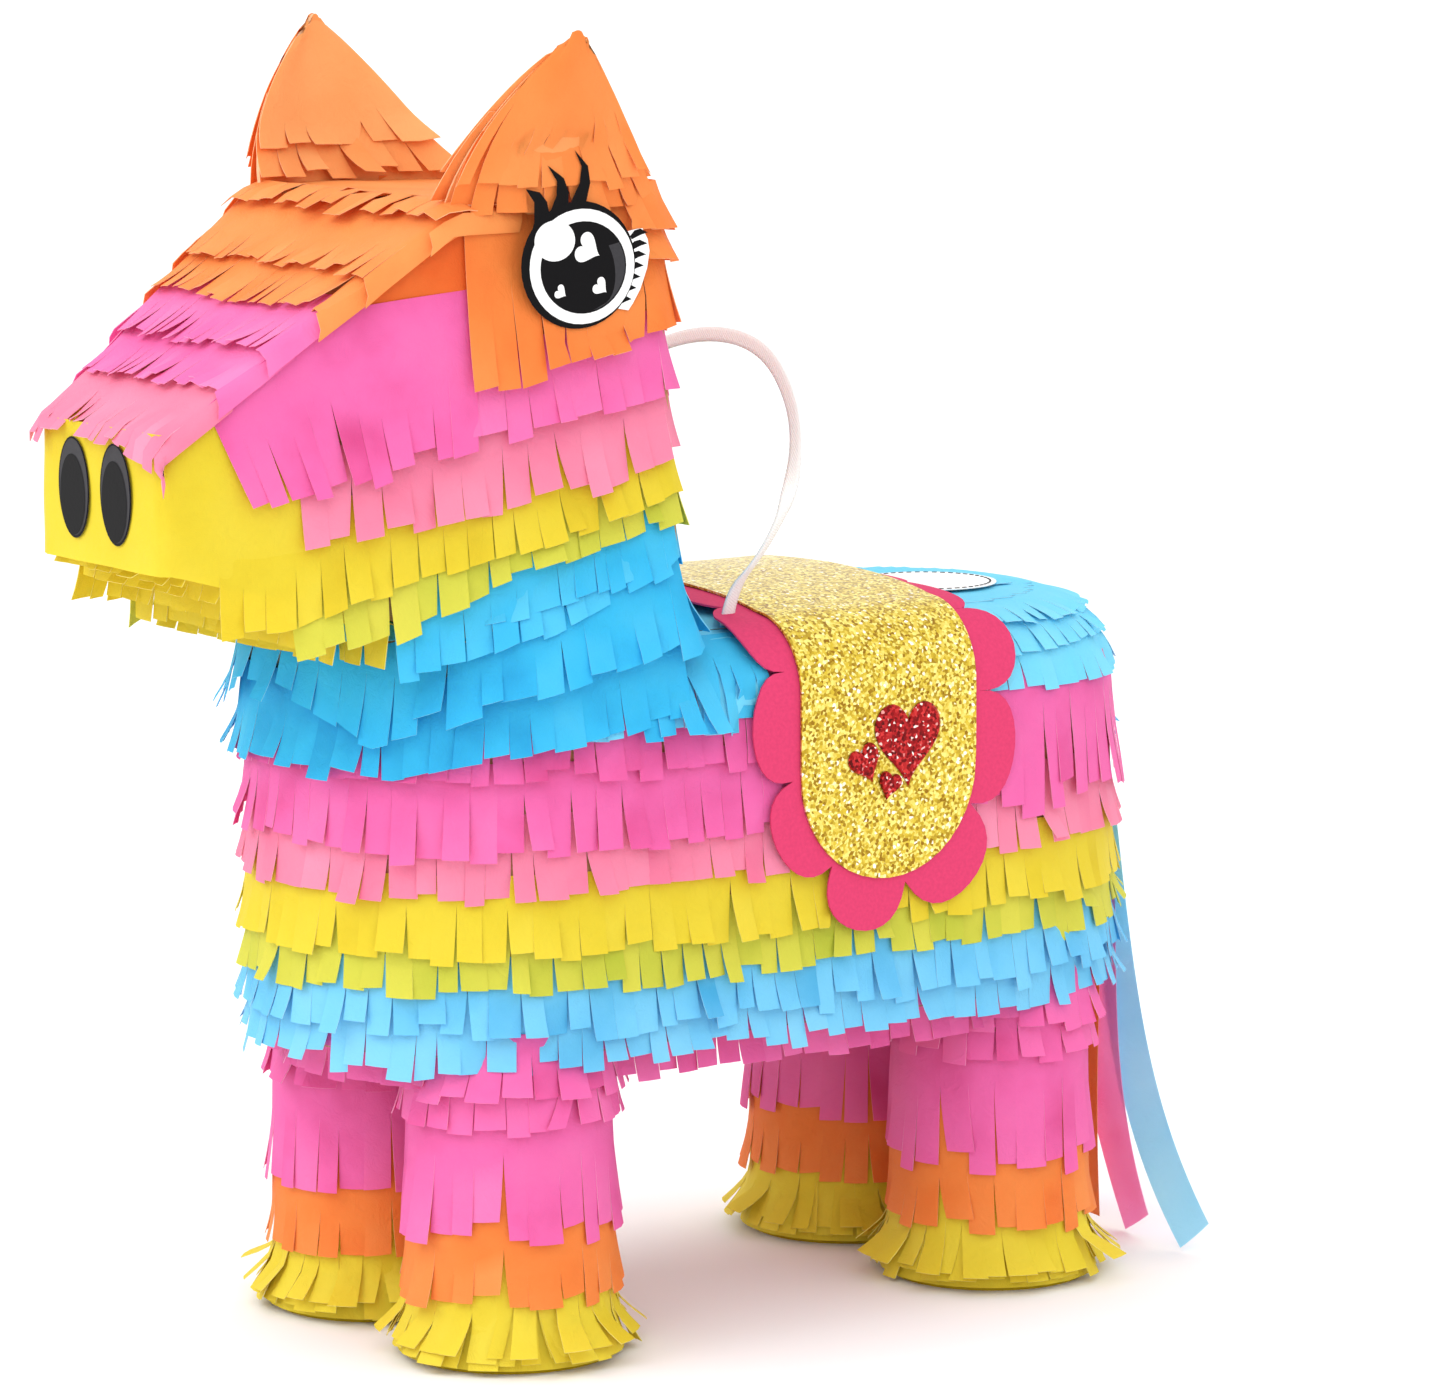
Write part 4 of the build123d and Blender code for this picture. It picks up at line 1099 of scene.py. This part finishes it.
solid = seal.modifiers.new("thickness", "SOLIDIFY")
solid.thickness = 0.00025
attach(seal, "flap")
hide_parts("fill_seal")

# ---------------------------------------------------------------- tail
# Long paper streamers hang from a tuft of fringe on the rump and spread a
# little as they fall.
# The streamers' blue and pink are brighter, more see-through copies of the body's papers: painted light that
# lifts streamers which would otherwise lie in shade.
tail_blue = tissue("tail_blue_tissue_paper_painted_light", (130, 212, 252), (186, 236, 254), (206, 242, 255), 0.5)
tail_pink = tissue("tail_pink_tissue_paper_painted_light", (250, 132, 196), (255, 180, 224), (255, 204, 236), 0.5)
for i, (name, node, paper, slot, half, path) in enumerate((
        ("tail_orange", "tail_streamer_orange", orange, "orange_tissue", 7.2,
         ((0, 166), (6, 120), (8, 60), (11, 4))),
        ("tail_pink", "tail_streamer_pink", tail_pink, "pink_tissue", 10.0,
         ((3, 166), (9, 120), (13, 65), (33, 5))),
        ("tail_blue", "tail_streamer_blue", tail_blue, "blue_tissue", 7.2,
         ((8, 166), (19, 120), (24, 70), (62, 6))),
        ("tail_pink_far", "tail_streamer_pink_far", tail_pink, "pink_tissue", 7.2,
         ((-7, 166), (-14, 120), (-20, 60), (-34, 5))),
        ("tail_blue_far", "tail_streamer_blue_far", tail_blue, "blue_tissue", 7.2,
         ((-9, 166), (-20, 120), (-30, 60), (-52, 8))))):
    work = new_rows()
    rng = random.Random(200 + i)
    ripple, twist = rng.uniform(0, 6), rng.uniform(-0.4, 0.4)
    spots = []
    steps = 40
    for k in range(steps + 1):
        t = k / steps
        b = [(1 - t) ** 3, 3 * (1 - t) ** 2 * t, 3 * (1 - t) * t * t, t ** 3]
        p = [path[0], (2 * path[1][0] - 0.5 * (path[0][0] + path[2][0]), path[1][1]),
             (2 * path[2][0] - 0.5 * (path[1][0] + path[3][0]), path[2][1] - 6), path[3]]
        spots.append(Vector((sum(w * q[0] for w, q in zip(b, p)), 172.6 + 1.8 * i,
                             sum(w * q[1] for w, q in zip(b, p)))))
    rows = []
    for k, spot in enumerate(spots):
        down = (spots[min(k + 1, steps)] - spots[max(k - 1, 0)]).normalized()
        t = k / steps
        across = Vector((-down.z, 0.0, down.x))
        turned = (across * math.cos(0.5 * math.sin(3.0 * t + ripple)) + Vector((0.0,
                0.25 * math.sin(4.0 * t + ripple), 0.0))).normalized()
        bend = Vector((0.0, 0.9 * math.sin(7.0 * t + ripple) * t, 0.0))
        rows.append([work.verts.new((spot + bend + turned * (half * w) + Vector((0, 0.5 * (1 - w * w),
                0))) * 0.001)
                     for w in (-1.0, -0.5, 0.0, 0.5, 1.0)])
        for v in rows[-1]:
            v[work.verts.layers.float["tone"]] = 0.55 + 0.15 * noise.noise(v.co * 60.0)
    for one, two in zip(rows, rows[1:]):
        for w in range(4):
            work.faces.new((one[w], one[w + 1], two[w + 1], two[w]))
    bmesh.ops.recalc_face_normals(work, faces=work.faces)
    streamer = add_paper(name, work, paper, slot, node, thick=0.0002)
work = new_rows()
for k in range(3):
    add_row(work, lambda a, z: Vector((a, 170.5 + 0.006 * a * a * -1 + 1.2, z)),
            lambda base: base - Vector((0, 30, 0)),
            -16.0, 16.0, 178 - 2 * k, 158 + 4 * k, 0.3, 6, 210 + k, lift=1.0 + 3.2 * k, flare=2.5, tone=0.55)
add_paper("tail_tuft", work, sky, "blue_tissue", "tail_patch")

# ---------------------------------------------------------------- cardboard
# The card under the paper: brown board with fluting lines, the feet's end
# discs in yellow paper, and a plain wooden bar for the strap.
board, tree, shader = material("cardboard", linear(186, 146, 100), 0.85)
spot = add_node(tree, "TexCoord")
flute = add_node(tree, "TexWave", {"Scale": 90.0, "Distortion": 0.4})
fibre = add_node(tree, "TexNoise", {"Scale": 420.0, "Detail": 5.0})
blend = add_node(tree, "Mix", data_type="RGBA")
blend.inputs["A"].default_value = (*linear(164, 122, 78), 1.0)
blend.inputs["B"].default_value = (*linear(202, 164, 118), 1.0)
bump = add_node(tree, "Bump", {"Strength": 0.25, "Distance": 0.0005})
join(tree, (spot, "Object", flute, "Vector"), (spot, "Object", fibre, "Vector"),
     (fibre, "Fac", blend, "Factor"), (blend, "Result", shader, "Base Color"), (flute, "Color", bump, "Height"),
     (bump, "Normal", shader, "Normal"))
wood, tree, shader = material("bar_wood", linear(206, 170, 122), 0.6)
spot = add_node(tree, "TexCoord")
grain = add_node(tree, "TexWave", {"Scale": 160.0, "Distortion": 6.0, "Detail": 4.0}, bands_direction="Z")
blend = add_node(tree, "Mix", data_type="RGBA")
blend.inputs["A"].default_value = (*linear(184, 142, 92), 1.0)
blend.inputs["B"].default_value = (*linear(222, 190, 144), 1.0)
join(tree, (spot, "Object", grain, "Vector"), (grain, "Color", blend, "Factor"),
     (blend, "Result", shader, "Base Color"))
for name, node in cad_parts.items():
    paint = wood if name == "loop_anchor" else yellow if name.startswith("leg_cap") else board
    for slot in node.material_slots:
        slot.material = paint
